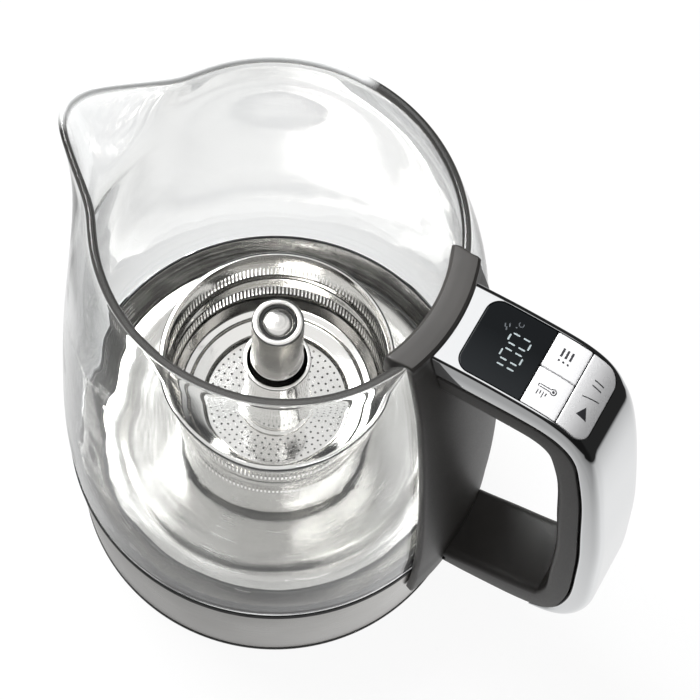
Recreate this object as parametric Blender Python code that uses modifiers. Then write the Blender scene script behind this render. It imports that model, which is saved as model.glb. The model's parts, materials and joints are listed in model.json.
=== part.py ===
"""Automatic tea maker: a glass jug on a steel base, with a tea basket that a magnetic lift moves.

Metres, +Z up. In the jug's own frame its axis is local Z, the spout points to -X and the handle to +X.
"""

import math

import bmesh
import bpy
import numpy as np
from mathutils import Matrix, Vector

# Fits and facets
FIT = 0.0003
RUNNING_GAP = 0.0004
WELD = 0.000001
OVERRUN = 0.0020
ROUND_STEPS = 48
SMALL_STEPS = 16
JUG_COLUMNS = 48
CORNER_STEPS = 4

# Jug
BODY_RADIUS = 0.0750
RIM_RADIUS = 0.0579
RIM_HEIGHT = 0.2130
RIM_TILT_SHARE = 0.086
GLASS_WALL = 0.0031
BEAD_RADIUS = 0.0020
SPOUT_REACH = 0.0768
SPOUT_TIP_HALF_WIDTH = 0.0085
SPOUT_TIP_DEPTH = 0.0035
SPOUT_HALF_ANGLE = 28.0
SPOUT_START_SHARE = 0.66
SPOUT_CURVE = 1.7
SPOUT_BLEND_ANGLE = 47.0
BLUNT_POWER = 26.0
BLEND_POWER = 60.0
# How high up the wall, and how far from the rim's radius to the body's
JUG_PROFILE_SHARES = ((0, 1.0), (0.08, 1.015), (0.30, 0.93), (0.55, 0.737), (0.65, 0.632),
                      (0.80, 0.444), (0.90, 0.245), (0.96, 0.10), (1.0, 0))
JUG_ROW_SHARES = (0, 0.08, 0.2, 0.32, 0.44, 0.55, 0.66, 0.75, 0.83, 0.90, 0.955)

# Base shell
SKIRT_HEIGHT = 0.0475
SKIRT_BOTTOM = 0.0019
SKIRT_TAPER = 0.0020
SKIRT_WALL = 0.0008
SKIRT_FLANGE = 0.0038
SEAL_HEIGHT = 0.0034
SEAL_PROUD = 0.0003
SEAL_WIDTH = 0.0034
SEAL_CHAMFER = 0.0004
GASKET_WIDTH = 0.0037
GASKET_HEIGHT = 0.0026
GASKET_LIP = 0.0014
GASKET_LIP_WIDTH = 0.0013
CARRIER_DEPTH = 0.0081
CARRIER_SEAT_WIDTH = 0.0056
CARRIER_SHELF = 0.0025
CARRIER_SHELF_REACH = 0.0050
CARRIER_RISE = 0.0009
COLUMN_RADIUS = 0.0038
COLUMN_INSET = 0.0140
COLUMN_ANGLES = (33.75, 153.75, 273.75)
COVER_FOOT_WIDTH = 0.0066
COVER_RECESS = 0.0030
COVER_THICKNESS = 0.0020
COVER_UPSTAND = 0.0030
COVER_UPSTAND_WALL = 0.0019

# Heating floor
PLATE_RISE = 0.0017
PLATE_WALL = 0.0008
PLATE_SLOPE = 0.0055
PLATE_LIP_HEIGHT = 0.0024
PLATE_LIP_WIDTH = 0.0025
PLATE_EDGE_WIDTH = 0.0033
PLATE_EDGE_HEIGHT = 0.0003
SPREADER_GAP = 0.0040
SPREADER_THICKNESS = 0.0022
ELEMENT_INSET = 0.0140
ELEMENT_TUBE = 0.0033
ELEMENT_OPENING = 30.0
ELEMENT_LEG = 0.0110
ELEMENT_POINTS = 26
CUTOUT_RADIUS = 0.0070
CUTOUT_HEIGHT = 0.0067
CUTOUT_ANGLE = 150.0
SENSOR_RADIUS = 0.0030
SENSOR_HEIGHT = 0.0066
SENSOR_ANGLE = 30.0
ELEMENT_GAP = 0.0007

# Guide post and lift
POST_RADIUS = 0.0088
POST_WALL = 0.0012
POST_RISE = 0.0898
POST_SHOULDER = 0.0026
POST_CROWN = 0.0005
POST_RECESS_RADIUS = 0.0054
POST_RECESS_DEPTH = 0.0022
POST_FLANGE = 0.0052
POST_FLANGE_THICKNESS = 0.0012
CAP_CROWN = 0.0004
CAP_ROUND = 0.0010
CAP_GAP = 0.0006
SCREW_RADIUS = 0.0025
SCREW_SEAT = 0.0053
SCREW_COLLAR_RADIUS = 0.0042
SCREW_COLLAR = 0.0020
BUSH_HEIGHT = 0.0030
BUSH_DROP = 0.0031
CARRIAGE_RISE = 0.0010
CARRIAGE_HEIGHT = 0.0140
CARRIAGE_RIM = 0.0030
CARRIAGE_CORE_RADIUS = 0.0046
GEARBOX_BACK = 0.0130
GEARBOX_HALF_WIDTH = 0.0125
GEARBOX_GAP = 0.0045
GEARBOX_CORNER = 0.0060
MOTOR_RADIUS = 0.0100
MOTOR_EDGE = 0.0010
MOTOR_GAP = 0.0030
BRACKET_THICKNESS = 0.0020
BRACKET_HUB_RADIUS = 0.0180
BRACKET_ARM_WIDTH = 0.0090
BRACKET_HOLE_RADIUS = 0.0052
BRACKET_SCREW_INSET = 0.0090
BRACKET_ANGLES = (86.25, 206.25, 326.25)

# Tea basket at its low place
BASKET_FLOAT = 0.0048
BASKET_HEIGHT = 0.0530
BASKET_RIM_RADIUS = 0.0407
BASKET_BEAD = 0.0010
BASKET_TOP_RADIUS = 0.0393
BASKET_BOTTOM_RADIUS = 0.0365
BASKET_WALL = 0.0007
SLIT_DEPTHS = (0.0255, 0.0105)
SLIT_HEIGHT = 0.0070
SLIT_WIDTH = 0.0009
SLITS_PER_ROW = 32
SIEVE_RISE = 0.0130
SIEVE_WALL = 0.0006
SIEVE_FLAT_RADIUS = 0.0252
SIEVE_CONE_RADIUS = 0.0340
SIEVE_CONE_HEIGHT = 0.0072
SIEVE_EDGE_HEIGHT = 0.0090
SIEVE_STEP = 0.0018
SIEVE_STEP_HEIGHT = 0.0022
SIEVE_HOLE_RADIUS = 0.0006
SIEVE_HOLE_SIDES = 6
SIEVE_RINGS = ((0.0160, 14), (0.0212, 20))
SLEEVE_RADIUS = 0.0113
SLEEVE_WALL = 0.0009
SLEEVE_COLLAR = 0.0016
SLEEVE_COLLAR_THICKNESS = 0.0008
SLEEVE_FOOT = 0.0042
SLEEVE_FOOT_THICKNESS = 0.0011
HUB_MAGNET_HEIGHT = 0.0076
HUB_MAGNET_RADIUS = 0.0150
HUB_BUSH_HEIGHT = 0.0060

# Connector and power board under the floor
SOCKET_RADIUS = 0.0170
SOCKET_WALL = 0.0030
SOCKET_LIFT = 0.0016
SOCKET_HEIGHT = 0.0180
SOCKET_ROOF = 0.0022
SOCKET_FLANGE = 0.0040
SOCKET_FLANGE_THICKNESS = 0.0017
PIN_RADIUS = 0.0020
PIN_LIFT = 0.0024
PIN_HEAD_RADIUS = 0.0034
PIN_HEAD = 0.0012
BOARD_HALF_LENGTH = 0.0260
BOARD_DEPTH = 0.0320
BOARD_MARGIN = 0.0190
BOARD_BOTTOM = 0.0150
BOARD_THICKNESS = 0.0016
BOSS_RADIUS = 0.0030
BOSS_INSET = 0.0051
RELAY_SIZE = (0.0150, 0.0120, 0.0120)
RELAY_PLACE = (-0.0120, 0.0160)
CAPACITOR_RADIUS = 0.0050
CAPACITOR_HEIGHT = 0.0110
CAPACITOR_PLACE = (0.0160, 0.0200)

# Screws
HOLE_GAP = 0.0003
COVER_SCREW = (0.0013, 0.0113)
COVER_SCREW_HEAD = (0.0028, 0.0016)
BRACKET_SCREW = (0.0012, 0.0090)
BRACKET_SCREW_HEAD = (0.0025, 0.0018)
LOWER_SCREW = (0.0015, 0.0263)
LOWER_SCREW_HEAD = (0.0026, 0.0021)
LOWER_SCREW_DROP = 0.0035
UPPER_SCREW = (0.0014, 0.0150)
UPPER_SCREW_HEAD = (0.0023, 0.0012)
UPPER_SCREW_DROP = 0.0179

# Handle
STRIP_THICKNESS = 0.0029
STRIP_GAP = 0.00035
STRIP_HALF_ANGLE = 20.5
STRIP_BOTTOM = 0.0290
STRIP_STEPS = 10
COLLAR_INNER_DEPTH = 0.0060
HANDLE_WIDTH = 0.0287
HANDLE_DEPTH = 0.07035
HANDLE_TOP_DROP = 0.0028
HANDLE_BOTTOM_DROP = 0.0077
CHROME_EDGE = 0.0012
GRIP_EDGE = 0.0022
CHROME_WALL = 0.0016
CAVITY_SIDE_WALL = 0.00145
CAVITY_END_HEIGHT = 0.0590
# How far from the collar to the handle's reach, and how far from its bottom to its top
CHROME_OUTER_SHARES = ((-0.085, 1.0), (0.173, 1.0), (0.359, 0.995), (0.531, 0.984), (0.645, 0.961),
                       (0.724, 0.920), (0.781, 0.867), (0.838, 0.776), (0.916, 0.594), (0.953, 0.488),
                       (0.986, 0.324), (1.0, 0.218), (0.977, 0.1185), (0.917, 0.0657), (0.817, 0.034),
                       (0.717, 0.0240))
CHROME_INNER_SHARES = ((-0.085, 0.927), (0.30, 0.927), (0.445, 0.925), (0.565, 0.913), (0.660, 0.878),
                       (0.716, 0.812), (0.779, 0.675), (0.821, 0.535), (0.853, 0.429), (0.873, 0.313),
                       (0.884, 0.205), (0.862, 0.1156), (0.810, 0.0600), (0.724, 0.0360))
GRIP_TOP_SHARES = ((-0.085, 0.868), (0.259, 0.868), (0.366, 0.866), (0.462, 0.862), (0.541, 0.843),
                   (0.585, 0.805), (0.632, 0.731), (0.681, 0.582), (0.7196, 0.468), (0.741, 0.356),
                   (0.756, 0.235), (0.758, 0.155), (0.735, 0.122), (0.652, 0.108), (0.216, 0.060),
                   (0.060, 0.056))
GRIP_BOTTOM_SHARES = ((0.060, 0.003), (0.166, 0.001), (0.323, 0), (0.495, 0.006), (0.661, 0.017),
                       (0.7125, 0.0236))
CURVE_STEPS = 2

# Panel on the handle
PANEL_INSET = 0.0037
WINDOW_LENGTH = 0.0228
KEY_LENGTH = 0.0116
START_LENGTH = 0.0098
PANEL_HALF_WIDTH = 0.0131
PANEL_THICKNESS = 0.0015
PANEL_CORNER = 0.0045
KEY_GAP = 0.0004
KEY_STROKE_ROOM = 0.0017
PANEL_STEPS = 9
MODULE_MARGIN = 0.0024
HANDLE_BOARD_INSET = 0.0013
HANDLE_BOARD_SETBACK = 0.0052
SWITCH_SIZE = (0.0048, 0.0048, 0.0016)
SWITCH_REST_GAP = 0.0008
PLUNGER_WIDTH = 0.0028
START_SWITCH_SETBACK = 0.0026

# Wiring from the handle's board to the power board
HARNESS_RADIUS = 0.0015
HARNESS_ROOM = 0.0006
HARNESS_ASIDE = 0.0050
# In the handle, in the shares of its side view
HARNESS_HANDLE_SHARES = ((0.590, 0.918), (0.655, 0.902), (0.740, 0.846), (0.811, 0.729), (0.878, 0.553),
                         (0.920, 0.365), (0.929, 0.230), (0.889, 0.171), (0.818, 0.124), (0.726, 0.090),
                         (0.591, 0.066), (0.406, 0.039))
# In the base: shares of the body's radius towards the handle and aside, and of the skirt's height
HARNESS_BASE_SHARES = ((0.960, 0.082, 0.926), (0.880, 0.087, 0.926), (0.760, 0.113, 0.874),
                       (0.667, 0.200, 0.716), (0.533, 0.320, 0.505), (0.413, 0.387, 0.392),
                       (0.320, 0.400, 0.388))

# Places worked out from the sizes
SKIRT_BOTTOM_RADIUS = BODY_RADIUS - SKIRT_TAPER
SEAL_LOW = SKIRT_HEIGHT + FIT
GLASS_BOTTOM = SEAL_LOW + SEAL_HEIGHT + FIT
GASKET_OUTER = BODY_RADIUS + SEAL_PROUD - SEAL_WIDTH - FIT
CARRIER_STEP = GASKET_OUTER - GASKET_WIDTH - FIT
CARRIER_WALL = CARRIER_STEP - CARRIER_SEAT_WIDTH
CARRIER_SHELF_RADIUS = CARRIER_WALL - CARRIER_SHELF_REACH
COLUMN_PLACE_RADIUS = BODY_RADIUS - COLUMN_INSET
BRACKET_SCREW_RADIUS = BODY_RADIUS - BRACKET_SCREW_INSET
CARRIER_TOP = SKIRT_HEIGHT - SKIRT_WALL - FIT
CARRIER_BOTTOM = CARRIER_TOP - CARRIER_DEPTH
COVER_FLOOR = COVER_RECESS + COVER_THICKNESS
PLATE_TOP = SKIRT_HEIGHT + PLATE_RISE
PLATE_EDGE = CARRIER_STEP - FIT
PLATE_LIP_OUTER = PLATE_EDGE - PLATE_EDGE_WIDTH
PLATE_LIP_INNER = PLATE_LIP_OUTER - PLATE_LIP_WIDTH
PLATE_FLAT_RADIUS = PLATE_LIP_INNER - PLATE_SLOPE
SPREADER_RADIUS = PLATE_FLAT_RADIUS - SPREADER_GAP
ELEMENT_RADIUS = SPREADER_RADIUS - ELEMENT_INSET
PLATE_UNDER = PLATE_TOP - PLATE_WALL - FIT
POST_TOP = PLATE_TOP + POST_RISE
BASKET_BOTTOM = PLATE_TOP + BASKET_FLOAT
BASKET_TOP = BASKET_BOTTOM + BASKET_HEIGHT
SIEVE_TOP = BASKET_BOTTOM + SIEVE_RISE
CARRIAGE_BOTTOM = BASKET_BOTTOM + CARRIAGE_RISE
BRACKET_TOP = CARRIER_BOTTOM - FIT
GEARBOX_TOP = BRACKET_TOP - BRACKET_THICKNESS - FIT
GEARBOX_BOTTOM = SOCKET_HEIGHT + FIT + PIN_HEAD + GEARBOX_GAP
BOARD_FAR = BODY_RADIUS - BOARD_MARGIN
BOARD_NEAR = BOARD_FAR - BOARD_DEPTH
MOTOR_PLACE = SOCKET_RADIUS + SOCKET_FLANGE + MOTOR_EDGE + MOTOR_RADIUS
HANDLE_TOP = RIM_HEIGHT - HANDLE_TOP_DROP
HANDLE_BOTTOM = SKIRT_HEIGHT - HANDLE_BOTTOM_DROP
COLLAR_RADIUS = RIM_RADIUS + STRIP_GAP + STRIP_THICKNESS + FIT
HANDLE_REACH = COLLAR_RADIUS + HANDLE_DEPTH
PANEL_START = COLLAR_RADIUS + PANEL_INSET
KEYS_START = PANEL_START + WINDOW_LENGTH + KEY_GAP
KEYS_END = KEYS_START + KEY_LENGTH
PANEL_END = KEYS_END + KEY_GAP + START_LENGTH

# The object's frame stands in the middle of its box
FRAME_SHIFT = (max(SPOUT_REACH, BODY_RADIUS + SEAL_PROUD) - HANDLE_REACH) / 2

FINISHES = {
    "glass": ((0.93, 0.95, 0.95), 0.03, 0.0, 0.95),
    "brushed_steel": ((0.55, 0.54, 0.52), 0.35, 1.0, 0.0),
    "polished_steel": ((0.72, 0.71, 0.69), 0.12, 1.0, 0.0),
    "chrome": ((0.80, 0.80, 0.81), 0.05, 1.0, 0.0),
    "dark_plastic": ((0.058, 0.054, 0.050), 0.45, 0.0, 0.0),
    "black_plastic": ((0.015, 0.015, 0.015), 0.40, 0.0, 0.0),
    "black_glass": ((0.008, 0.009, 0.011), 0.08, 0.0, 0.0),
    "grey_silicone": ((0.23, 0.22, 0.22), 0.50, 0.0, 0.0),
    "satin_key": ((0.66, 0.66, 0.67), 0.30, 0.9, 0.0),
    "aluminium": ((0.62, 0.63, 0.64), 0.40, 1.0, 0.0),
    "brass": ((0.65, 0.48, 0.20), 0.30, 1.0, 0.0),
    "magnet": ((0.30, 0.30, 0.31), 0.35, 1.0, 0.0),
    "board": ((0.03, 0.16, 0.07), 0.45, 0.0, 0.0),
    "wire": ((0.25, 0.25, 0.26), 0.50, 0.0, 0.0),
}


# Scene helpers
def clear_scene():
    for old in list(bpy.data.objects):
        bpy.data.objects.remove(old)


def new_collection(name, helpers=False):
    collection = bpy.data.collections.new(name)
    bpy.context.scene.collection.children.link(collection)
    collection.hide_render = helpers
    return collection


def piece_material(name, finish):
    """A Principled material of the piece's own, with the values of one finish."""
    colour, roughness, metallic, transmission = FINISHES[finish]
    material = bpy.data.materials.new(name)
    material.use_nodes = True
    shader = material.node_tree.nodes["Principled BSDF"]
    shader.inputs["Base Color"].default_value = (*colour, 1.0)
    shader.inputs["Roughness"].default_value = roughness
    shader.inputs["Metallic"].default_value = metallic
    shader.inputs["Transmission Weight"].default_value = transmission
    return material


def add_piece(name, mesh, finish, place=(0, 0, 0)):
    """A visible piece on the jug's frame."""
    piece = bpy.data.objects.new(name, mesh)
    PARTS.objects.link(piece)
    piece.parent = JUG_FRAME
    piece.location = place
    mesh.materials.append(piece_material(name, finish))
    mesh.shade_smooth()
    mesh.set_sharp_from_angle(angle=math.radians(30))
    return piece


def add_cutter(name, mesh, place=(0, 0, 0)):
    """A hidden shape that cuts or joins others."""
    cutter = bpy.data.objects.new(name, mesh)
    CUTTERS.objects.link(cutter)
    cutter.parent = JUG_FRAME
    cutter.location = place
    cutter.hide_render = True
    cutter.display_type = "WIRE"
    return cutter


def combine(piece, other, operation="DIFFERENCE"):
    modifier = piece.modifiers.new(other.name, "BOOLEAN")
    modifier.operation = operation
    modifier.solver = "EXACT"
    modifier.object = other


def polar(radius, degrees, height=0.0):
    angle = math.radians(degrees)
    return Vector((radius * math.cos(angle), radius * math.sin(angle), height))


# Curves and outlines
def smooth_through(points, steps):
    """Points of a smooth open curve through the given ones, with this many steps between neighbours."""
    points = np.array(points, float)
    chords = np.linalg.norm(np.diff(points, axis=0), axis=1)
    along = np.concatenate([[0], np.cumsum(chords)])
    slopes = np.gradient(points, along, axis=0)
    curve = []
    for i, chord in enumerate(chords):
        for t in np.arange(steps) / steps:
            start = (1 + 2 * t) * (1 - t) ** 2 * points[i] + t * (1 - t) ** 2 * chord * slopes[i]
            end = t * t * (3 - 2 * t) * points[i + 1] + t * t * (t - 1) * chord * slopes[i + 1]
            curve.append(start + end)
    return np.array(curve + [points[-1]])


def moved_aside(points, distance):
    """The curve moved to its left side by a distance."""
    run = np.gradient(np.array(points, float), axis=0)
    run /= np.linalg.norm(run, axis=1)[:, None]
    return points + distance * np.stack([-run[:, 1], run[:, 0]], axis=1)


def rounded_plan(x0, x1, y0, y1, radii):
    """A rectangle's outline, anticlockwise from its low corner, with a radius for each corner."""
    corners = ((x0, y0, 1, 1, 180), (x1, y0, -1, 1, 270), (x1, y1, -1, -1, 0), (x0, y1, 1, -1, 90))
    outline = []
    for (x, y, toward_x, toward_y, start), radius in zip(corners, radii):
        if radius == 0:
            outline.append((x, y))
            continue
        centre = Vector((x + toward_x * radius, y + toward_y * radius, 0))
        for i in range(CORNER_STEPS + 1):
            outline.append(tuple((centre + polar(radius, start + i * 90 / CORNER_STEPS))[:2]))
    return outline


def handle_place(u, v):
    """A place in the handle's side view, from its shares across and upward."""
    across = COLLAR_RADIUS + u * (HANDLE_REACH - COLLAR_RADIUS)
    return (across, HANDLE_BOTTOM + v * (HANDLE_TOP - HANDLE_BOTTOM))


def handle_points(shares, steps=CURVE_STEPS):
    """A smooth curve in the handle's side view, from a table of shares."""
    return smooth_through([handle_place(u, v) for u, v in shares], steps)


# Mesh makers
def mesh_from(bm, name):
    mesh = bpy.data.meshes.new(name)
    bm.to_mesh(mesh)
    bm.free()
    return mesh


def flat_solid(name, outline, low, high, upright=False):
    """A closed outline made solid: lying from z = low to high, or upright from y = low to high."""
    bm = bmesh.new()
    verts = [bm.verts.new((u, low, v) if upright else (u, v, low)) for u, v in outline]
    edges = [bm.edges.new(pair) for pair in zip(verts, verts[1:] + verts[:1])]
    bmesh.ops.edgeloop_fill(bm, edges=edges)
    raised = bmesh.ops.extrude_face_region(bm, geom=bm.faces[:])["geom"]
    rise = Vector((0, high - low, 0)) if upright else Vector((0, 0, high - low))
    bmesh.ops.translate(bm, verts=[part for part in raised if isinstance(part, bmesh.types.BMVert)], vec=rise)
    bmesh.ops.recalc_face_normals(bm, faces=bm.faces)
    return mesh_from(bm, name)


def round_side_edges(mesh, path, radius):
    """Rounds the edges that run along a path of the side view on both flanks of an upright solid."""
    bm = bmesh.new()
    bm.from_mesh(mesh)
    on_path = set()
    for vert in bm.verts:
        if np.hypot(path[:, 0] - vert.co.x, path[:, 1] - vert.co.z).min() < WELD * 10:
            on_path.add(vert)
    edges = []
    for edge in bm.edges:
        if abs(edge.verts[0].co.y - edge.verts[1].co.y) < WELD and on_path.issuperset(edge.verts):
            edges.append(edge)
    bmesh.ops.bevel(bm, geom=edges, offset=radius, segments=2, profile=0.5, affect="EDGES",
                    clamp_overlap=True)
    bmesh.ops.recalc_face_normals(bm, faces=bm.faces)
    bm.to_mesh(mesh)
    bm.free()


def box_mesh(name, low, high):
    low, high = Vector(low), Vector(high)
    size = high - low
    bm = bmesh.new()
    place = Matrix.Translation((low + high) / 2) @ Matrix.Diagonal((size.x, size.y, size.z, 1))
    bmesh.ops.create_cube(bm, size=1, matrix=place)
    return mesh_from(bm, name)


def rod_mesh(name, radius, bottom, top, centre=(0, 0), sides=SMALL_STEPS):
    bm = bmesh.new()
    place = Matrix.Translation((centre[0], centre[1], (bottom + top) / 2))
    bmesh.ops.create_cone(bm, cap_ends=True, segments=sides, radius1=radius, radius2=radius,
                          depth=top - bottom, matrix=place)
    return mesh_from(bm, name)


def profile_mesh(name, points, closed):
    """Edges of a profile in the XZ plane, in the order that turns its faces outwards."""
    mesh = bpy.data.meshes.new(name)
    edges = [(i, i + 1) for i in range(len(points) - 1)]
    if closed:
        edges.append((len(points) - 1, 0))
    mesh.from_pydata([(r, 0, z) for r, z in points], edges, [])
    return mesh


def turn(obj, steps, angle=360.0):
    """Turns an object's profile about its Z axis."""
    screw = obj.modifiers.new("turn", "SCREW")
    screw.axis = "Z"
    screw.angle = math.radians(angle)
    screw.steps = steps
    screw.render_steps = steps
    screw.use_merge_vertices = angle == 360.0
    screw.merge_threshold = WELD


def turned_piece(name, points, finish, closed=False, steps=ROUND_STEPS, place=(0, 0, 0)):
    """A turned piece. Its profile runs down the outer side, and an open one starts and ends on the axis."""
    piece = add_piece(name, profile_mesh(name, points, closed), finish, place)
    turn(piece, steps)
    return piece


def turned_cutter(name, points, closed=False, steps=ROUND_STEPS):
    cutter = add_cutter(name, profile_mesh(name, points, closed))
    turn(cutter, steps)
    return cutter


def tube_mesh(name, route, radius, resolution):
    """A round tube along a route, with closed ends, as a mesh."""
    curve = bpy.data.curves.new(name, "CURVE")
    curve.dimensions = "3D"
    curve.bevel_depth = radius
    curve.bevel_resolution = resolution
    curve.use_fill_caps = True
    spline = curve.splines.new("POLY")
    spline.points.add(len(route) - 1)
    for point, place in zip(spline.points, route):
        point.co = (*place, 1)
    guide = bpy.data.objects.new(name, curve)
    CUTTERS.objects.link(guide)
    bpy.context.view_layer.update()
    mesh = bpy.data.meshes.new_from_object(guide.evaluated_get(bpy.context.evaluated_depsgraph_get()))
    bpy.data.objects.remove(guide)
    bm = bmesh.new()
    bm.from_mesh(mesh)
    bmesh.ops.remove_doubles(bm, verts=bm.verts, dist=WELD)
    bmesh.ops.recalc_face_normals(bm, faces=bm.faces)
    bm.to_mesh(mesh)
    bm.free()
    return mesh


def screw_piece(name, shank, head, place, turn_by):
    """A screw whose head's outer face lies at its origin and whose shank points to its local +Z."""
    shank_radius, shank_length = shank
    head_radius, head_height = head
    end = head_height + shank_length
    profile = [(0, end), (shank_radius, end - shank_radius), (shank_radius, head_height),
               (head_radius, head_height), (head_radius, 0), (0, 0)]
    piece = turned_piece(name, profile, "brushed_steel", steps=SMALL_STEPS, place=place)
    piece.rotation_euler = turn_by
    return piece


# Shapes that several pieces share
def skirt_radius(z):
    """Outer radius of the tapered skirt at a height."""
    up = (z - SKIRT_BOTTOM) / (SKIRT_HEIGHT - SKIRT_BOTTOM)
    return SKIRT_BOTTOM_RADIUS + (BODY_RADIUS - SKIRT_BOTTOM_RADIUS) * up


def body_radius(share):
    """Outer radius of the round jug at a share of its height, from a curve through the profile table."""
    table = smooth_through(JUG_PROFILE_SHARES, 6)
    return RIM_RADIUS + (BODY_RADIUS - RIM_RADIUS) * np.interp(share, table[:, 0], table[:, 1])


def rim_outline_radius(angle):
    """Plan radius of the rim: a circle, drawn out about -X to a spout with straight flanks and a blunt tip."""
    aside = abs(math.remainder(angle - math.pi, 2 * math.pi))
    spread = math.radians(SPOUT_HALF_ANGLE)
    if aside > math.radians(SPOUT_BLEND_ANGLE):
        return RIM_RADIUS
    root = Vector((math.cos(spread), math.sin(spread))) * RIM_RADIUS
    tip = Vector((SPOUT_REACH - SPOUT_TIP_DEPTH, SPOUT_TIP_HALF_WIDTH))
    across = Vector((root.y - tip.y, tip.x - root.x)).normalized()
    flank = across.dot(root) / (across.x * math.cos(aside) + across.y * math.sin(aside))
    front = SPOUT_REACH / math.cos(aside)
    blunt = (flank ** -BLUNT_POWER + front ** -BLUNT_POWER) ** (-1 / BLUNT_POWER)
    return (RIM_RADIUS ** BLEND_POWER + max(blunt, 0) ** BLEND_POWER) ** (1 / BLEND_POWER)


def jug_radius(angle, share, reach):
    """Outer radius of the jug, with the spout's flare growing in towards the rim."""
    flare = max(0.0, (share - SPOUT_START_SHARE) / (1 - SPOUT_START_SHARE)) ** SPOUT_CURVE
    return float(body_radius(share)) + flare * (reach - RIM_RADIUS)


def rim_top(x):
    return RIM_HEIGHT - RIM_TILT_SHARE * x


def strip_path():
    """Side view of the strip's inner face: up the skirt and the glass, over the rim and down inside."""
    bead_z = rim_top(RIM_RADIUS) - BEAD_RADIUS
    widest = BODY_RADIUS + SEAL_PROUD + STRIP_GAP
    path = [(skirt_radius(STRIP_BOTTOM) + STRIP_GAP, STRIP_BOTTOM), (widest, SKIRT_HEIGHT)]
    for share in JUG_ROW_SHARES[1:]:
        radius = min(float(body_radius(share)) + STRIP_GAP, widest + STRIP_GAP)
        path.append((radius, GLASS_BOTTOM + share * (bead_z - GLASS_BOTTOM)))
    around = BEAD_RADIUS + STRIP_GAP
    for i in range(CORNER_STEPS * 2 + 1):
        turn_point = polar(around, i * 180 / (CORNER_STEPS * 2))
        path.append((RIM_RADIUS - BEAD_RADIUS + turn_point.x, bead_z + turn_point.y))
    path.append((RIM_RADIUS - BEAD_RADIUS - around, bead_z - COLLAR_INNER_DEPTH))
    return np.array(path)


def strip_seat():
    """A turned solid that holds all the space up to the strip's outer face and its seat gap."""
    path = strip_path()
    outer = moved_aside(path, -(STRIP_THICKNESS + FIT))
    crown = HANDLE_TOP + RIM_HEIGHT - rim_top(RIM_RADIUS)
    wall = [(max(r, COLLAR_RADIUS), z) for r, z in outer if r > RIM_RADIUS and z < rim_top(RIM_RADIUS)]
    profile = [(0, crown), (COLLAR_RADIUS, crown)] + wall[::-1] + [(wall[0][0], 0), (0, 0)]
    return turned_cutter("strip_seat", profile, steps=ROUND_STEPS * 2)


# Base
def make_base_shell():
    skirt_inner_top = BODY_RADIUS - SKIRT_FLANGE
    under_flange = SKIRT_HEIGHT - SKIRT_WALL
    skirt = turned_piece("base_skirt", [
        (BODY_RADIUS, SKIRT_HEIGHT),
        (SKIRT_BOTTOM_RADIUS, SKIRT_BOTTOM),
        (SKIRT_BOTTOM_RADIUS - SKIRT_WALL, SKIRT_BOTTOM),
        (skirt_radius(under_flange) - SKIRT_WALL, under_flange),
        (skirt_inner_top, under_flange),
        (skirt_inner_top, SKIRT_HEIGHT)], "brushed_steel", closed=True, steps=ROUND_STEPS + SMALL_STEPS)
    seal_high = SEAL_LOW + SEAL_HEIGHT
    seal_outer = BODY_RADIUS + SEAL_PROUD
    turned_piece("seal_ring", [
        (seal_outer - SEAL_CHAMFER, seal_high),
        (seal_outer, seal_high - SEAL_CHAMFER),
        (seal_outer, SEAL_LOW),
        (seal_outer - SEAL_WIDTH, SEAL_LOW),
        (seal_outer - SEAL_WIDTH, seal_high)], "black_plastic", closed=True)
    lip_top = SEAL_LOW + GASKET_HEIGHT + GASKET_LIP
    turned_piece("plate_gasket", [
        (GASKET_OUTER, lip_top), (GASKET_OUTER, SEAL_LOW), (GASKET_OUTER - GASKET_WIDTH, SEAL_LOW),
        (GASKET_OUTER - GASKET_WIDTH, SEAL_LOW + GASKET_HEIGHT), (GASKET_OUTER - GASKET_LIP_WIDTH, lip_top)],
        "grey_silicone", closed=True)
    carrier = make_plate_carrier(skirt_inner_top)
    make_base_cover()
    return skirt, carrier


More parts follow.
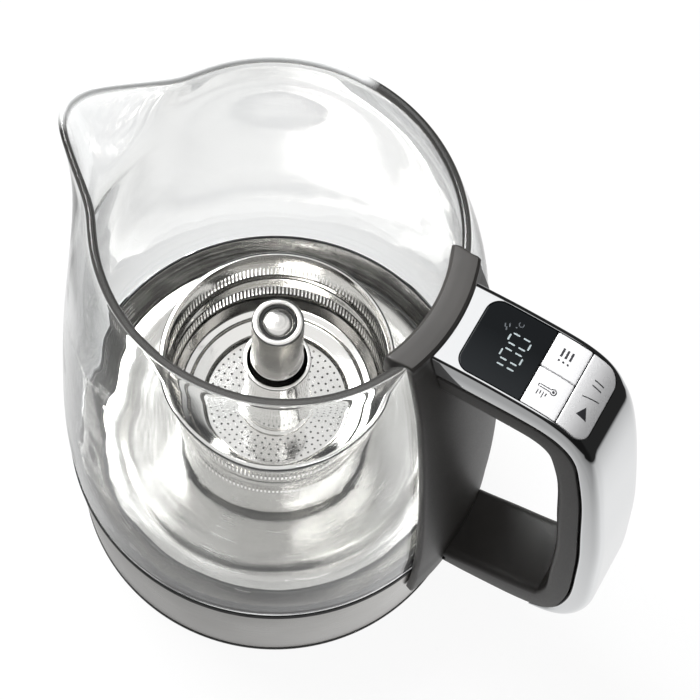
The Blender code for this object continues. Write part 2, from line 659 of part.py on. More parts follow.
def make_plate_carrier(skirt_inner_top):
    """Ring that holds the floor and the gasket, with three columns for the cover's screws."""
    top, bottom = CARRIER_TOP, CARRIER_BOTTOM
    seat = SKIRT_HEIGHT
    step = CARRIER_STEP
    wall = CARRIER_WALL
    carrier = turned_piece("plate_carrier", [
        (skirt_radius(top) - SKIRT_WALL - FIT, top),
        (skirt_radius(bottom) - SKIRT_WALL - FIT, bottom),
        (CARRIER_SHELF_RADIUS, bottom),
        (CARRIER_SHELF_RADIUS, bottom + CARRIER_SHELF),
        (wall, bottom + CARRIER_SHELF),
        (wall, seat + CARRIER_RISE),
        (step, seat + CARRIER_RISE),
        (step, seat),
        (skirt_inner_top - FIT, seat),
        (skirt_inner_top - FIT, top)], "black_plastic", closed=True)
    floor = COVER_FLOOR + FIT
    for i, degrees in enumerate(COLUMN_ANGLES):
        at = polar(COLUMN_PLACE_RADIUS, degrees)
        column = rod_mesh("carrier_column", COLUMN_RADIUS, floor, bottom + CARRIER_SHELF / 2, at)
        combine(carrier, add_cutter(f"carrier_column_{i + 1}", column), "UNION")
    for i, degrees in enumerate(COLUMN_ANGLES):
        at = polar(COLUMN_PLACE_RADIUS, degrees)
        depth = COVER_SCREW_HEAD[1] + COVER_SCREW[1]
        hole = rod_mesh("column_hole", COVER_SCREW[0] + HOLE_GAP, floor - OVERRUN,
                        COVER_RECESS - FIT - COVER_SCREW_HEAD[1] + depth + FIT, at, SMALL_STEPS // 2)
        combine(carrier, add_cutter(f"column_hole_{i + 1}", hole))
    for i, degrees in enumerate(BRACKET_ANGLES):
        at = polar(BRACKET_SCREW_RADIUS, degrees)
        reach = bottom - FIT - BRACKET_THICKNESS + BRACKET_SCREW[1]
        hole = rod_mesh("bracket_bore", BRACKET_SCREW[0] + HOLE_GAP, bottom - OVERRUN, reach, at,
                        SMALL_STEPS // 2)
        combine(carrier, add_cutter(f"bracket_bore_{i + 1}", hole))
    return carrier


def make_base_cover():
    """Under cover: a foot ring to stand on, a recessed floor and bosses for the power board."""
    upstand = SKIRT_BOTTOM_RADIUS - SKIRT_WALL - RUNNING_GAP
    foot_outer = SKIRT_BOTTOM_RADIUS - RUNNING_GAP
    under_skirt = SKIRT_BOTTOM - FIT
    socket_hole = SOCKET_RADIUS + FIT
    cover = turned_piece("base_cover", [
        (upstand, COVER_FLOOR + COVER_UPSTAND),
        (upstand, under_skirt),
        (foot_outer, under_skirt),
        (foot_outer, 0),
        (foot_outer - COVER_FOOT_WIDTH, 0),
        (foot_outer - COVER_FOOT_WIDTH, COVER_RECESS),
        (socket_hole, COVER_RECESS),
        (socket_hole, COVER_FLOOR),
        (upstand - COVER_UPSTAND_WALL, COVER_FLOOR),
        (upstand - COVER_UPSTAND_WALL, COVER_FLOOR + COVER_UPSTAND)], "black_plastic", closed=True)
    for i, degrees in enumerate(COLUMN_ANGLES):
        hole = rod_mesh("cover_hole", COVER_SCREW[0] + HOLE_GAP, COVER_RECESS - OVERRUN,
                        COVER_FLOOR + OVERRUN, polar(COLUMN_PLACE_RADIUS, degrees), SMALL_STEPS // 2)
        combine(cover, add_cutter(f"cover_hole_{i + 1}", hole))
    near, far = BOARD_NEAR + BOSS_INSET, BOARD_FAR - BOSS_INSET
    aside = BOARD_HALF_LENGTH - BOSS_INSET
    for i, at in enumerate(((-aside, near), (aside, near), (-aside, far), (aside, far))):
        boss = rod_mesh("board_boss", BOSS_RADIUS, COVER_FLOOR - COVER_THICKNESS / 2, BOARD_BOTTOM - FIT, at,
                        SMALL_STEPS // 2)
        combine(cover, add_cutter(f"board_boss_{i + 1}", boss), "UNION")


def make_heating_floor():
    hole = POST_RADIUS + FIT
    top = [(hole, PLATE_TOP), (PLATE_FLAT_RADIUS, PLATE_TOP),
           ((PLATE_FLAT_RADIUS + PLATE_LIP_INNER) / 2, PLATE_TOP + PLATE_LIP_HEIGHT / 2),
           (PLATE_LIP_INNER, PLATE_TOP + PLATE_LIP_HEIGHT), (PLATE_LIP_OUTER, PLATE_TOP + PLATE_LIP_HEIGHT),
           (PLATE_EDGE, PLATE_TOP + PLATE_EDGE_HEIGHT)]
    under = [(r, z - PLATE_WALL) for r, z in top]
    turned_piece("heating_plate", top + under[::-1], "polished_steel", closed=True)
    high = PLATE_UNDER
    low = high - SPREADER_THICKNESS
    inner = POST_RADIUS + POST_FLANGE + RUNNING_GAP
    turned_piece("heat_spreader", [
        (SPREADER_RADIUS, high), (SPREADER_RADIUS, low), (inner, low), (inner, high)], "aluminium", closed=True)
    tube_z = low - FIT - ELEMENT_TUBE
    start = ELEMENT_OPENING / 2 - 90
    step = (360 - ELEMENT_OPENING) / (ELEMENT_POINTS - 1)
    ring = [polar(ELEMENT_RADIUS, start + step * i, tube_z) for i in range(ELEMENT_POINTS)]
    drop = Vector((0, 0, -ELEMENT_LEG))
    route = [ring[0] + drop] + ring + [ring[-1] + drop]
    add_piece("heating_element", tube_mesh("heating_element", route, ELEMENT_TUBE, 2), "brushed_steel")
    for name, radius, height, angle, finish in (
            ("thermal_cutout", CUTOUT_RADIUS, CUTOUT_HEIGHT, CUTOUT_ANGLE, "aluminium"),
            ("temperature_sensor", SENSOR_RADIUS, SENSOR_HEIGHT, SENSOR_ANGLE, "brass")):
        seat = low - FIT
        inside_ring = polar(ELEMENT_RADIUS - ELEMENT_TUBE - ELEMENT_GAP - radius, angle)
        add_piece(name, rod_mesh(name, radius, seat - height, seat, inside_ring), finish)


# Lift
def make_lift():
    """Post, cap, screw, bush, carriage, magnets, gearbox, motor and bracket."""
    bore = POST_RADIUS - POST_WALL
    flange_top = PLATE_UNDER
    flange_low = flange_top - POST_FLANGE_THICKNESS
    recess = POST_TOP - POST_RECESS_DEPTH
    roof = recess - POST_WALL
    turned_piece("guide_post", [
        (0, recess), (POST_RECESS_RADIUS, recess), (POST_RECESS_RADIUS, POST_TOP - POST_CROWN),
        (POST_RECESS_RADIUS + POST_CROWN, POST_TOP), (POST_RADIUS - POST_SHOULDER / 2, POST_TOP - POST_CROWN),
        (POST_RADIUS, POST_TOP - POST_SHOULDER), (POST_RADIUS, flange_top),
        (POST_RADIUS + POST_FLANGE, flange_top), (POST_RADIUS + POST_FLANGE, flange_low),
        (bore, flange_low), (bore, roof), (0, roof)], "polished_steel", steps=ROUND_STEPS - SMALL_STEPS)
    cap = POST_RECESS_RADIUS - CAP_GAP
    turned_piece("post_cap", [
        (0, POST_TOP + CAP_CROWN), (cap - CAP_ROUND, POST_TOP + CAP_CROWN / 2),
        (cap, POST_TOP - CAP_ROUND), (cap, recess + FIT), (0, recess + FIT)],
        "polished_steel", steps=SMALL_STEPS * 2)
    screw_low = GEARBOX_TOP - SCREW_SEAT
    bush_top = roof - BUSH_DROP
    bush_low = bush_top - BUSH_HEIGHT
    collar_low = GEARBOX_TOP + FIT
    turned_piece("lead_screw", [
        (0, bush_top - FIT), (SCREW_RADIUS, bush_top - FIT), (SCREW_RADIUS, collar_low + SCREW_COLLAR),
        (SCREW_COLLAR_RADIUS, collar_low + SCREW_COLLAR), (SCREW_COLLAR_RADIUS, collar_low),
        (SCREW_RADIUS, collar_low), (SCREW_RADIUS, screw_low), (0, screw_low)], "brass", steps=SMALL_STEPS)
    runs = bore - RUNNING_GAP
    shaft_hole = SCREW_RADIUS + RUNNING_GAP
    turned_piece("screw_bush", [(bore - FIT, bush_top), (bore - FIT, bush_low), (shaft_hole, bush_low),
                                (shaft_hole, bush_top)], "dark_plastic", closed=True, steps=SMALL_STEPS)
    top = CARRIAGE_BOTTOM + CARRIAGE_HEIGHT
    low_rim, high_rim = CARRIAGE_BOTTOM + CARRIAGE_RIM, top - CARRIAGE_RIM
    turned_piece("lift_carriage", [
        (runs, top), (runs, high_rim), (CARRIAGE_CORE_RADIUS, high_rim), (CARRIAGE_CORE_RADIUS, low_rim),
        (runs, low_rim), (runs, CARRIAGE_BOTTOM), (shaft_hole, CARRIAGE_BOTTOM), (shaft_hole, top)],
        "dark_plastic", closed=True, steps=SMALL_STEPS)
    turned_piece("carriage_magnet", [
        (runs, high_rim - FIT), (runs, low_rim + FIT), (CARRIAGE_CORE_RADIUS + FIT, low_rim + FIT),
        (CARRIAGE_CORE_RADIUS + FIT, high_rim - FIT)], "magnet", closed=True, steps=SMALL_STEPS)
    make_drive(screw_low)


def make_drive(screw_low):
    """Gearbox, motor and the bracket that hangs them from the carrier, and all screws from below."""
    front = MOTOR_PLACE + MOTOR_RADIUS + MOTOR_EDGE
    plan = rounded_plan(-GEARBOX_BACK, front, -GEARBOX_HALF_WIDTH, GEARBOX_HALF_WIDTH, [GEARBOX_CORNER] * 4)
    gearbox = add_piece("lift_gearbox", flat_solid("lift_gearbox", plan, GEARBOX_BOTTOM, GEARBOX_TOP),
                        "dark_plastic")
    socket = rod_mesh("screw_socket", SCREW_RADIUS + RUNNING_GAP, screw_low - FIT, GEARBOX_TOP + OVERRUN)
    combine(gearbox, add_cutter("screw_socket", socket))
    motor = rod_mesh("lift_motor", MOTOR_RADIUS, COVER_FLOOR + MOTOR_GAP, GEARBOX_BOTTOM - FIT,
                     (MOTOR_PLACE, 0), SMALL_STEPS * 2)
    add_piece("lift_motor", motor, "brushed_steel")
    high = BRACKET_TOP
    low = high - BRACKET_THICKNESS
    hub = rod_mesh("gearbox_bracket", BRACKET_HUB_RADIUS, low, high, sides=SMALL_STEPS * 2)
    bracket = add_piece("gearbox_bracket", hub, "aluminium")
    half = BRACKET_ARM_WIDTH / 2
    reach = BRACKET_SCREW_RADIUS + half
    for i, degrees in enumerate(BRACKET_ANGLES):
        arm = add_cutter(f"bracket_arm_{i + 1}", box_mesh("arm", (BRACKET_HUB_RADIUS / 2, -half, low),
                                                          (reach, half, high)))
        arm.rotation_euler.z = math.radians(degrees)
        combine(bracket, arm, "UNION")
    for i, degrees in enumerate(BRACKET_ANGLES):
        at = polar(BRACKET_SCREW_RADIUS, degrees)
        hole = rod_mesh("arm_hole", BRACKET_SCREW[0] + HOLE_GAP, low - OVERRUN, high + OVERRUN, at,
                        SMALL_STEPS // 2)
        combine(bracket, add_cutter(f"arm_hole_{i + 1}", hole))
        at.z = low - FIT - BRACKET_SCREW_HEAD[1]
        screw_piece(f"bracket_screw_{i + 1}", BRACKET_SCREW, BRACKET_SCREW_HEAD, at, (0, 0, 0))
    centre = rod_mesh("bracket_centre", BRACKET_HOLE_RADIUS, low - OVERRUN, high + OVERRUN)
    combine(bracket, add_cutter("bracket_centre", centre))
    for i, degrees in enumerate(COLUMN_ANGLES):
        at = polar(COLUMN_PLACE_RADIUS, degrees, COVER_RECESS - FIT - COVER_SCREW_HEAD[1])
        screw_piece(f"cover_screw_{i + 1}", COVER_SCREW, COVER_SCREW_HEAD, at, (0, 0, 0))


# Basket
def basket_radius(z):
    """Outer radius of the basket's tapered wall at a height."""
    up = (z - BASKET_BOTTOM) / (BASKET_TOP - BASKET_BOTTOM)
    return BASKET_BOTTOM_RADIUS + (BASKET_TOP_RADIUS - BASKET_BOTTOM_RADIUS) * up


def slit_bars():
    """One mesh of thin bars, a ring of them at each height of the slits."""
    bm = bmesh.new()
    inner = BASKET_BOTTOM_RADIUS - OVERRUN
    outer = BASKET_RIM_RADIUS + OVERRUN
    for depth in SLIT_DEPTHS:
        for i in range(SLITS_PER_ROW):
            place = (Matrix.Rotation(2 * math.pi * (i + 0.5) / SLITS_PER_ROW, 4, "Z")
                     @ Matrix.Translation(((inner + outer) / 2, 0, BASKET_TOP - depth))
                     @ Matrix.Diagonal((outer - inner, SLIT_WIDTH, SLIT_HEIGHT, 1)))
            bmesh.ops.create_cube(bm, size=1, matrix=place)
    return mesh_from(bm, "slit_bars")


def sieve_pins():
    """One mesh of small rods, rings of them about the hub."""
    bm = bmesh.new()
    for radius, count in SIEVE_RINGS:
        for i in range(count):
            at = polar(radius, 360 * i / count, SIEVE_TOP)
            bmesh.ops.create_cone(bm, cap_ends=True, segments=SIEVE_HOLE_SIDES, radius1=SIEVE_HOLE_RADIUS,
                                  radius2=SIEVE_HOLE_RADIUS, depth=SIEVE_WALL + 2 * OVERRUN,
                                  matrix=Matrix.Translation(at))
    return mesh_from(bm, "sieve_pins")


def make_basket():
    """Tapered wall with a rolled rim and slits, sieve floor, tube on the post, its magnet and its bush."""
    inner_top = basket_radius(BASKET_TOP) - BASKET_WALL
    bead_low = BASKET_TOP - 2 * BASKET_BEAD
    shell = turned_piece("basket_shell", [
        (BASKET_RIM_RADIUS - BASKET_BEAD, BASKET_TOP), (BASKET_RIM_RADIUS, BASKET_TOP - BASKET_BEAD),
        (BASKET_RIM_RADIUS - BASKET_BEAD, bead_low), (basket_radius(bead_low), bead_low),
        (BASKET_BOTTOM_RADIUS, BASKET_BOTTOM), (BASKET_BOTTOM_RADIUS - BASKET_WALL, BASKET_BOTTOM),
        (inner_top, BASKET_TOP - BASKET_BEAD)], "polished_steel", closed=True)
    combine(shell, add_cutter("slit_bars", slit_bars()))
    sleeve_bore = SLEEVE_RADIUS - SLEEVE_WALL
    hub_hole = SLEEVE_RADIUS + FIT
    edge_z = SIEVE_TOP + SIEVE_EDGE_HEIGHT
    edge = basket_radius(edge_z) - BASKET_WALL - FIT
    top = [(hub_hole, SIEVE_TOP), (SIEVE_FLAT_RADIUS, SIEVE_TOP),
           (SIEVE_FLAT_RADIUS + SIEVE_STEP / 2, SIEVE_TOP + SIEVE_STEP_HEIGHT),
           (SIEVE_FLAT_RADIUS + SIEVE_STEP, SIEVE_TOP + SIEVE_STEP_HEIGHT),
           (SIEVE_CONE_RADIUS, SIEVE_TOP + SIEVE_CONE_HEIGHT), (edge, edge_z)]
    under = [(r, z - SIEVE_WALL) for r, z in top]
    sieve = turned_piece("basket_floor", top + under[::-1], "polished_steel", closed=True)
    combine(sieve, add_cutter("sieve_pins", sieve_pins()))
    collar_low = SIEVE_TOP + FIT
    magnet_top = SIEVE_TOP - SIEVE_WALL - FIT
    foot_top = magnet_top - HUB_MAGNET_HEIGHT - FIT
    foot_low = foot_top - SLEEVE_FOOT_THICKNESS
    collar = SLEEVE_RADIUS + SLEEVE_COLLAR
    turned_piece("basket_sleeve", [
        (SLEEVE_RADIUS, BASKET_TOP), (SLEEVE_RADIUS, collar_low + SLEEVE_COLLAR_THICKNESS),
        (collar, collar_low + SLEEVE_COLLAR_THICKNESS), (collar, collar_low), (SLEEVE_RADIUS, collar_low),
        (SLEEVE_RADIUS, foot_top), (SLEEVE_RADIUS + SLEEVE_FOOT, foot_top),
        (SLEEVE_RADIUS + SLEEVE_FOOT, foot_low), (sleeve_bore, foot_low),
        (sleeve_bore, BASKET_TOP)], "polished_steel", closed=True,
        steps=ROUND_STEPS - SMALL_STEPS)
    turned_piece("basket_magnet", [
        (HUB_MAGNET_RADIUS, magnet_top), (HUB_MAGNET_RADIUS, foot_top + FIT), (hub_hole, foot_top + FIT),
        (hub_hole, magnet_top)], "magnet", closed=True, steps=ROUND_STEPS - SMALL_STEPS)
    bush_outer = sleeve_bore - FIT
    bush_inner = POST_RADIUS + RUNNING_GAP
    bush_top = foot_low + HUB_BUSH_HEIGHT
    turned_piece("basket_bush", [(bush_outer, bush_top), (bush_outer, foot_low), (bush_inner, foot_low),
                                 (bush_inner, bush_top)], "black_plastic", closed=True, steps=SMALL_STEPS * 2)


# Jug
def make_jug():
    """The glass: on each column of the plan, a section up the outer wall, over the bead and down inside."""
    bm = bmesh.new()
    columns = []
    for column in range(JUG_COLUMNS):
        angle = math.pi + 2 * math.pi * column / JUG_COLUMNS
        reach = rim_outline_radius(angle)
        bead_z = rim_top(reach * math.cos(angle)) - BEAD_RADIUS
        section = []
        for share in JUG_ROW_SHARES:
            section.append((jug_radius(angle, share, reach), GLASS_BOTTOM + share * (bead_z - GLASS_BOTTOM)))
        inner = [(r - GLASS_WALL, z) for r, z in section]
        for i in range(CORNER_STEPS + 1):
            point = polar(BEAD_RADIUS, 180 * i / CORNER_STEPS)
            section.append((reach - BEAD_RADIUS + point.x, bead_z + point.y))
        section += inner[::-1]
        columns.append([bm.verts.new((r * math.cos(angle), r * math.sin(angle), z)) for r, z in section])
    rows = len(columns[0])
    for a, b in zip(columns, columns[1:] + columns[:1]):
        for i in range(rows):
            j = (i + 1) % rows
            bm.faces.new((a[i], b[i], b[j], a[j]))
    bmesh.ops.recalc_face_normals(bm, faces=bm.faces)
    add_piece("glass_jug", mesh_from(bm, "glass_jug"), "glass")


# Connector and board
def make_connector():
    """Socket of the cordless connector, a cup that opens downwards, and its contact pin."""
    floor = COVER_FLOOR + FIT
    bore = SOCKET_RADIUS - SOCKET_WALL
    roof = SOCKET_HEIGHT - SOCKET_ROOF
    flange = SOCKET_RADIUS + SOCKET_FLANGE
    flange_top = floor + SOCKET_FLANGE_THICKNESS
    socket = turned_piece("coupler_socket", [
        (0, SOCKET_HEIGHT), (SOCKET_RADIUS, SOCKET_HEIGHT), (SOCKET_RADIUS, flange_top),
        (flange, flange_top), (flange, floor),
        (SOCKET_RADIUS, floor), (SOCKET_RADIUS, SOCKET_LIFT), (bore, SOCKET_LIFT), (bore, roof), (0, roof)],
        "black_plastic", steps=ROUND_STEPS - SMALL_STEPS)
    hole = rod_mesh("pin_hole", PIN_RADIUS + FIT, roof - OVERRUN, SOCKET_HEIGHT + OVERRUN)
    combine(socket, add_cutter("pin_hole", hole))
    head_low = SOCKET_HEIGHT + FIT
    turned_piece("contact_pin", [
        (0, head_low + PIN_HEAD), (PIN_HEAD_RADIUS, head_low + PIN_HEAD), (PIN_HEAD_RADIUS, head_low),
        (PIN_RADIUS, head_low), (PIN_RADIUS, SOCKET_LIFT + PIN_LIFT), (0, SOCKET_LIFT + PIN_LIFT)],
        "brass", steps=SMALL_STEPS)


def make_power_board():
    top = BOARD_BOTTOM + BOARD_THICKNESS
    add_piece("power_board", box_mesh("power_board", (-BOARD_HALF_LENGTH, BOARD_NEAR, BOARD_BOTTOM),
                                      (BOARD_HALF_LENGTH, BOARD_FAR, top)), "board")
    x, y = RELAY_PLACE[0], BOARD_NEAR + RELAY_PLACE[1]
    width, depth, height = RELAY_SIZE
    add_piece("power_relay", box_mesh("power_relay", (x - width / 2, y - depth / 2, top + FIT),
                                      (x + width / 2, y + depth / 2, top + FIT + height)), "black_plastic")
    at = (CAPACITOR_PLACE[0], BOARD_NEAR + CAPACITOR_PLACE[1])
    add_piece("board_capacitor", rod_mesh("board_capacitor", CAPACITOR_RADIUS, top + FIT,
                                          top + FIT + CAPACITOR_HEIGHT, at), "aluminium")


# Handle
def make_strip():
    """Strip up the glass with its collar: the side view turned through its angle and given a thickness."""
    path = strip_path()[::-1]
    strip = add_piece("handle_spine", profile_mesh("handle_spine", path, False), "dark_plastic")
    strip.rotation_euler.z = math.radians(-STRIP_HALF_ANGLE)
    turn(strip, STRIP_STEPS, 2 * STRIP_HALF_ANGLE)
    wall = strip.modifiers.new("wall", "SOLIDIFY")
    wall.thickness = STRIP_THICKNESS
    wall.offset = 1.0
    return strip


def grip_outline():
    """Side view of the inner grip: along the chrome's inner edge with a seam, and round the finger gap."""
    seam = moved_aside(handle_points(CHROME_INNER_SHARES), -FIT)
    underside = handle_points(GRIP_BOTTOM_SHARES, 1)[::-1]
    finger = handle_points(GRIP_TOP_SHARES)[::-1]
    return seam, underside, finger


def make_handle(seat, harness_room):
    half = HANDLE_WIDTH / 2
    outer = handle_points(CHROME_OUTER_SHARES)
    inner = handle_points(CHROME_INNER_SHARES)
    shell_mesh = flat_solid("chrome_shell", np.concatenate([outer, inner[::-1]]), -half, half, upright=True)
    round_side_edges(shell_mesh, outer, CHROME_EDGE)
    shell = add_piece("chrome_shell", shell_mesh, "chrome")
    hollow_side = half - CAVITY_SIDE_WALL
    lining = moved_aside(outer, -CHROME_WALL)
    lining = lining[lining[:, 1] > CAVITY_END_HEIGHT]
    mouth = moved_aside(inner, -OVERRUN)
    mouth = mouth[mouth[:, 1] > CAVITY_END_HEIGHT]
    hollow_plan = np.concatenate([lining, mouth[::-1]])
    hollow = flat_solid("shell_hollow", hollow_plan, -hollow_side, hollow_side, upright=True)
    combine(shell, seat)
    combine(shell, add_cutter("shell_hollow", hollow))
    combine(shell, panel_recess(outer))
    seam, underside, finger = grip_outline()
    grip_mesh = flat_solid("grip_inner", np.concatenate([seam, underside, finger]), -half, half, upright=True)
    round_side_edges(grip_mesh, finger, GRIP_EDGE)
    grip = add_piece("grip_inner", grip_mesh, "dark_plastic")
    combine(grip, seat)
    combine(grip, harness_room)
    return grip


def panel_surface(outer, x0, x1, drop_low, drop_high):
    """Side view of a slab that follows the chrome's top between two places and two drops below it."""
    xs = np.linspace(x0, x1, PANEL_STEPS)
    top = np.interp(xs, outer[:, 0], outer[:, 1])
    upper = np.stack([xs, top - drop_high], axis=1)
    lower = np.stack([xs, top - drop_low], axis=1)
    return np.concatenate([lower, upper[::-1]])


def top_line(outer):
    """The part of the chrome's outline that runs along the top, where a place has one height."""
    return outer[:int(np.argmax(outer[:, 1] < HANDLE_BOTTOM + (HANDLE_TOP - HANDLE_BOTTOM) / 2))]


def panel_recess(outer):
    """The cut in the chrome's top: shallow under the window, deeper under the keys, with rounded corners."""
    line = top_line(outer)
    side = PANEL_HALF_WIDTH + FIT
    plan = rounded_plan(PANEL_START - FIT, PANEL_END + FIT, -side, side, [PANEL_CORNER] * 4)
    recess_mesh = flat_solid("panel_recess", plan, CAVITY_END_HEIGHT, HANDLE_TOP + OVERRUN)
    recess = add_cutter("panel_recess", recess_mesh)
    ledge = PANEL_THICKNESS + FIT
    joint = KEYS_START - KEY_GAP / 2
    shallow = panel_surface(line, PANEL_START - OVERRUN, joint + FIT, ledge, -2 * OVERRUN)
    deep = panel_surface(line, joint, PANEL_END + OVERRUN, ledge + KEY_STROKE_ROOM, -2 * OVERRUN)
    depth = add_cutter("recess_depth", flat_solid("recess_depth", shallow, -2 * side, 2 * side, upright=True))
    keys_mesh = flat_solid("keys_depth", deep, -2 * side, 2 * side, upright=True)
    combine(depth, add_cutter("keys_depth", keys_mesh), "UNION")
    combine(recess, depth, "INTERSECT")
    return recess


def make_panel():
    """Window, keys, their switches, the display module and the board that carries them."""
    outer = handle_points(CHROME_OUTER_SHARES)
    line = top_line(outer)
    side = PANEL_HALF_WIDTH
    low = panel_surface(line, PANEL_START - OVERRUN, PANEL_END + OVERRUN, PANEL_THICKNESS, 0)
    slab = add_cutter("panel_slab", flat_solid("panel_slab", low, -2 * side, 2 * side, upright=True))
    board_low = handle_points(CHROME_INNER_SHARES)[0][1]
    board_high = board_low + BOARD_THICKNESS
    half_gap = KEY_GAP / 2
    corner = PANEL_CORNER
    window_end = KEYS_START - KEY_GAP
    window = (PANEL_START, window_end, -side, side)
    plan_piece("display_window", window, (corner, 0, 0, corner), "black_glass", slab)
    keys = (("strength", (KEYS_START, KEYS_END, half_gap, side), (0, 0, 0, 0)),
            ("temperature", (KEYS_START, KEYS_END, -side, -half_gap), (0, 0, 0, 0)),
            ("start", (KEYS_END + KEY_GAP, PANEL_END, -side, side), (0, corner, corner, 0)))
    width, depth, height = SWITCH_SIZE
    switch_low = board_high + FIT
    for name, extent, corners in keys:
        x0, x1, y0, y1 = extent
        at_x = x0 + START_SWITCH_SETBACK if name == "start" else (x0 + x1) / 2
        at_y = (y0 + y1) / 2
        key = plan_piece(f"{name}_button", extent, corners, "satin_key", slab)
        foot = switch_low + height + SWITCH_REST_GAP
        head = float(np.interp(at_x + PLUNGER_WIDTH / 2, line[:, 0], line[:, 1])) - PANEL_THICKNESS / 2
        half = PLUNGER_WIDTH / 2
        plunger = box_mesh("plunger", (at_x - half, at_y - half, foot), (at_x + half, at_y + half, head))
        combine(key, add_cutter(f"{name}_plunger", plunger), "UNION")
        add_piece(f"{name}_switch", box_mesh("switch", (at_x - width / 2, at_y - depth / 2, switch_low),
                                             (at_x + width / 2, at_y + depth / 2, switch_low + height)),
                  "black_plastic")
    board_side = HANDLE_WIDTH / 2 - CAVITY_SIDE_WALL - HOLE_GAP
    board = box_mesh("handle_board", (PANEL_START + HANDLE_BOARD_INSET, -board_side, board_low),
                     (PANEL_END - HANDLE_BOARD_SETBACK, board_side, board_high))
    add_piece("handle_board", board, "board")
    inset = MODULE_MARGIN
    module_top = float(np.interp(window_end, line[:, 0], line[:, 1])) - PANEL_THICKNESS - FIT
    module = box_mesh("display_module", (PANEL_START + inset, -side + inset, board_high + FIT),
                      (window_end - inset, side - inset, module_top))
    add_piece("display_module", module, "black_plastic")


def plan_piece(name, extent, corners, finish, slab):
    """A piece of the panel: its plan made solid, kept where the panel's slab is, with a middle origin."""
    x0, x1, y0, y1 = extent
    mesh = flat_solid(name, rounded_plan(x0, x1, y0, y1, corners), CAVITY_END_HEIGHT, HANDLE_TOP + OVERRUN)
    middle = Vector(((x0 + x1) / 2, (y0 + y1) / 2, HANDLE_TOP))
    mesh.transform(Matrix.Translation(-middle))
    piece = add_piece(name, mesh, finish, middle)
    combine(piece, slab, "INTERSECT")
    return piece


def make_handle_screws(strip, grip, skirt, carrier):
    """Lower screw through carrier, skirt and strip, and upper one through the strip, both into the grip."""
    lower_start = CARRIER_WALL - FIT - LOWER_SCREW_HEAD[1]
    lower_height = SKIRT_HEIGHT - LOWER_SCREW_DROP
    upper_height = HANDLE_TOP - UPPER_SCREW_DROP
    to_handle = (0, math.radians(90), 0)
    lower_place = (lower_start, 0, lower_height)
    screw_piece("lower_handle_screw", LOWER_SCREW, LOWER_SCREW_HEAD, lower_place, to_handle)
    bore = add_cutter("lower_screw_bore", rod_mesh("lower_screw_bore", LOWER_SCREW[0] + HOLE_GAP, -OVERRUN,
                                                   LOWER_SCREW_HEAD[1] + LOWER_SCREW[1] + FIT), lower_place)
    bore.rotation_euler = to_handle
    for piece in (carrier, skirt, strip, grip):
        combine(piece, bore)
    path = strip_path()
    order = np.argsort(path[:len(JUG_ROW_SHARES) + 1, 1])
    inner_face = float(np.interp(upper_height - UPPER_SCREW_HEAD[0], path[order, 1], path[order, 0]))
    screw_piece("upper_handle_screw", UPPER_SCREW, UPPER_SCREW_HEAD, (inner_face, 0, upper_height), to_handle)
    sink_radius = UPPER_SCREW_HEAD[0] + HOLE_GAP
    sink = add_cutter("upper_screw_sink", rod_mesh("upper_screw_sink", sink_radius, -2 * OVERRUN,
                                                   UPPER_SCREW_HEAD[1] + FIT), (inner_face, 0, upper_height))
    hole = add_cutter("upper_screw_bore", rod_mesh("upper_screw_bore", UPPER_SCREW[0] + HOLE_GAP, 0,
                                                   UPPER_SCREW_HEAD[1] + UPPER_SCREW[1] + FIT),
                      (inner_face, 0, upper_height))
    sink.rotation_euler = to_handle
    hole.rotation_euler = to_handle
    combine(strip, sink)
    combine(strip, hole)
    combine(grip, hole)


def make_harness():
    """The wiring's tube, and the room for it in what it passes through."""
    in_handle = [handle_place(u, v) for u, v in HARNESS_HANDLE_SHARES]
    places = [(x, HARNESS_ASIDE, z) for x, z in in_handle]
    for toward, aside, up in HARNESS_BASE_SHARES:
        places.append((toward * BODY_RADIUS, aside * BODY_RADIUS, up * SKIRT_HEIGHT))
    route = smooth_through(places, CURVE_STEPS)
    add_piece("handle_harness", tube_mesh("handle_harness", route, HARNESS_RADIUS, 2), "wire")
    return add_cutter("harness_room", tube_mesh("harness_room", route, HARNESS_RADIUS + HARNESS_ROOM, 2))


clear_scene()
PARTS = new_collection("automatic_tea_maker")
CUTTERS = new_collection("cutters", helpers=True)
JUG_FRAME = bpy.data.objects.new("jug_frame", None)
PARTS.objects.link(JUG_FRAME)
JUG_FRAME.location = (FRAME_SHIFT, 0, 0)

make_jug()
base_skirt, plate_carrier = make_base_shell()
make_heating_floor()
make_lift()
make_basket()
make_connector()
make_power_board()
handle_spine = make_strip()
room = make_harness()
grip_inner = make_handle(strip_seat(), room)
for passed in (handle_spine, base_skirt, plate_carrier):
    combine(passed, room)
make_panel()
make_handle_screws(handle_spine, grip_inner, base_skirt, plate_carrier)
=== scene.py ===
"""Looks of an automatic tea maker: a glass jug on a steel base, with a loop handle and a tea basket on a post.

Metres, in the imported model's frame. Each shape is worked out about the jug's axis, with the spout to -X and the
handle to +X, and its points are then moved to where that axis stands.
"""

import json
import math

import bpy
import numpy as np
from mathutils import Matrix, Vector
from mathutils.geometry import delaunay_2d_cdt


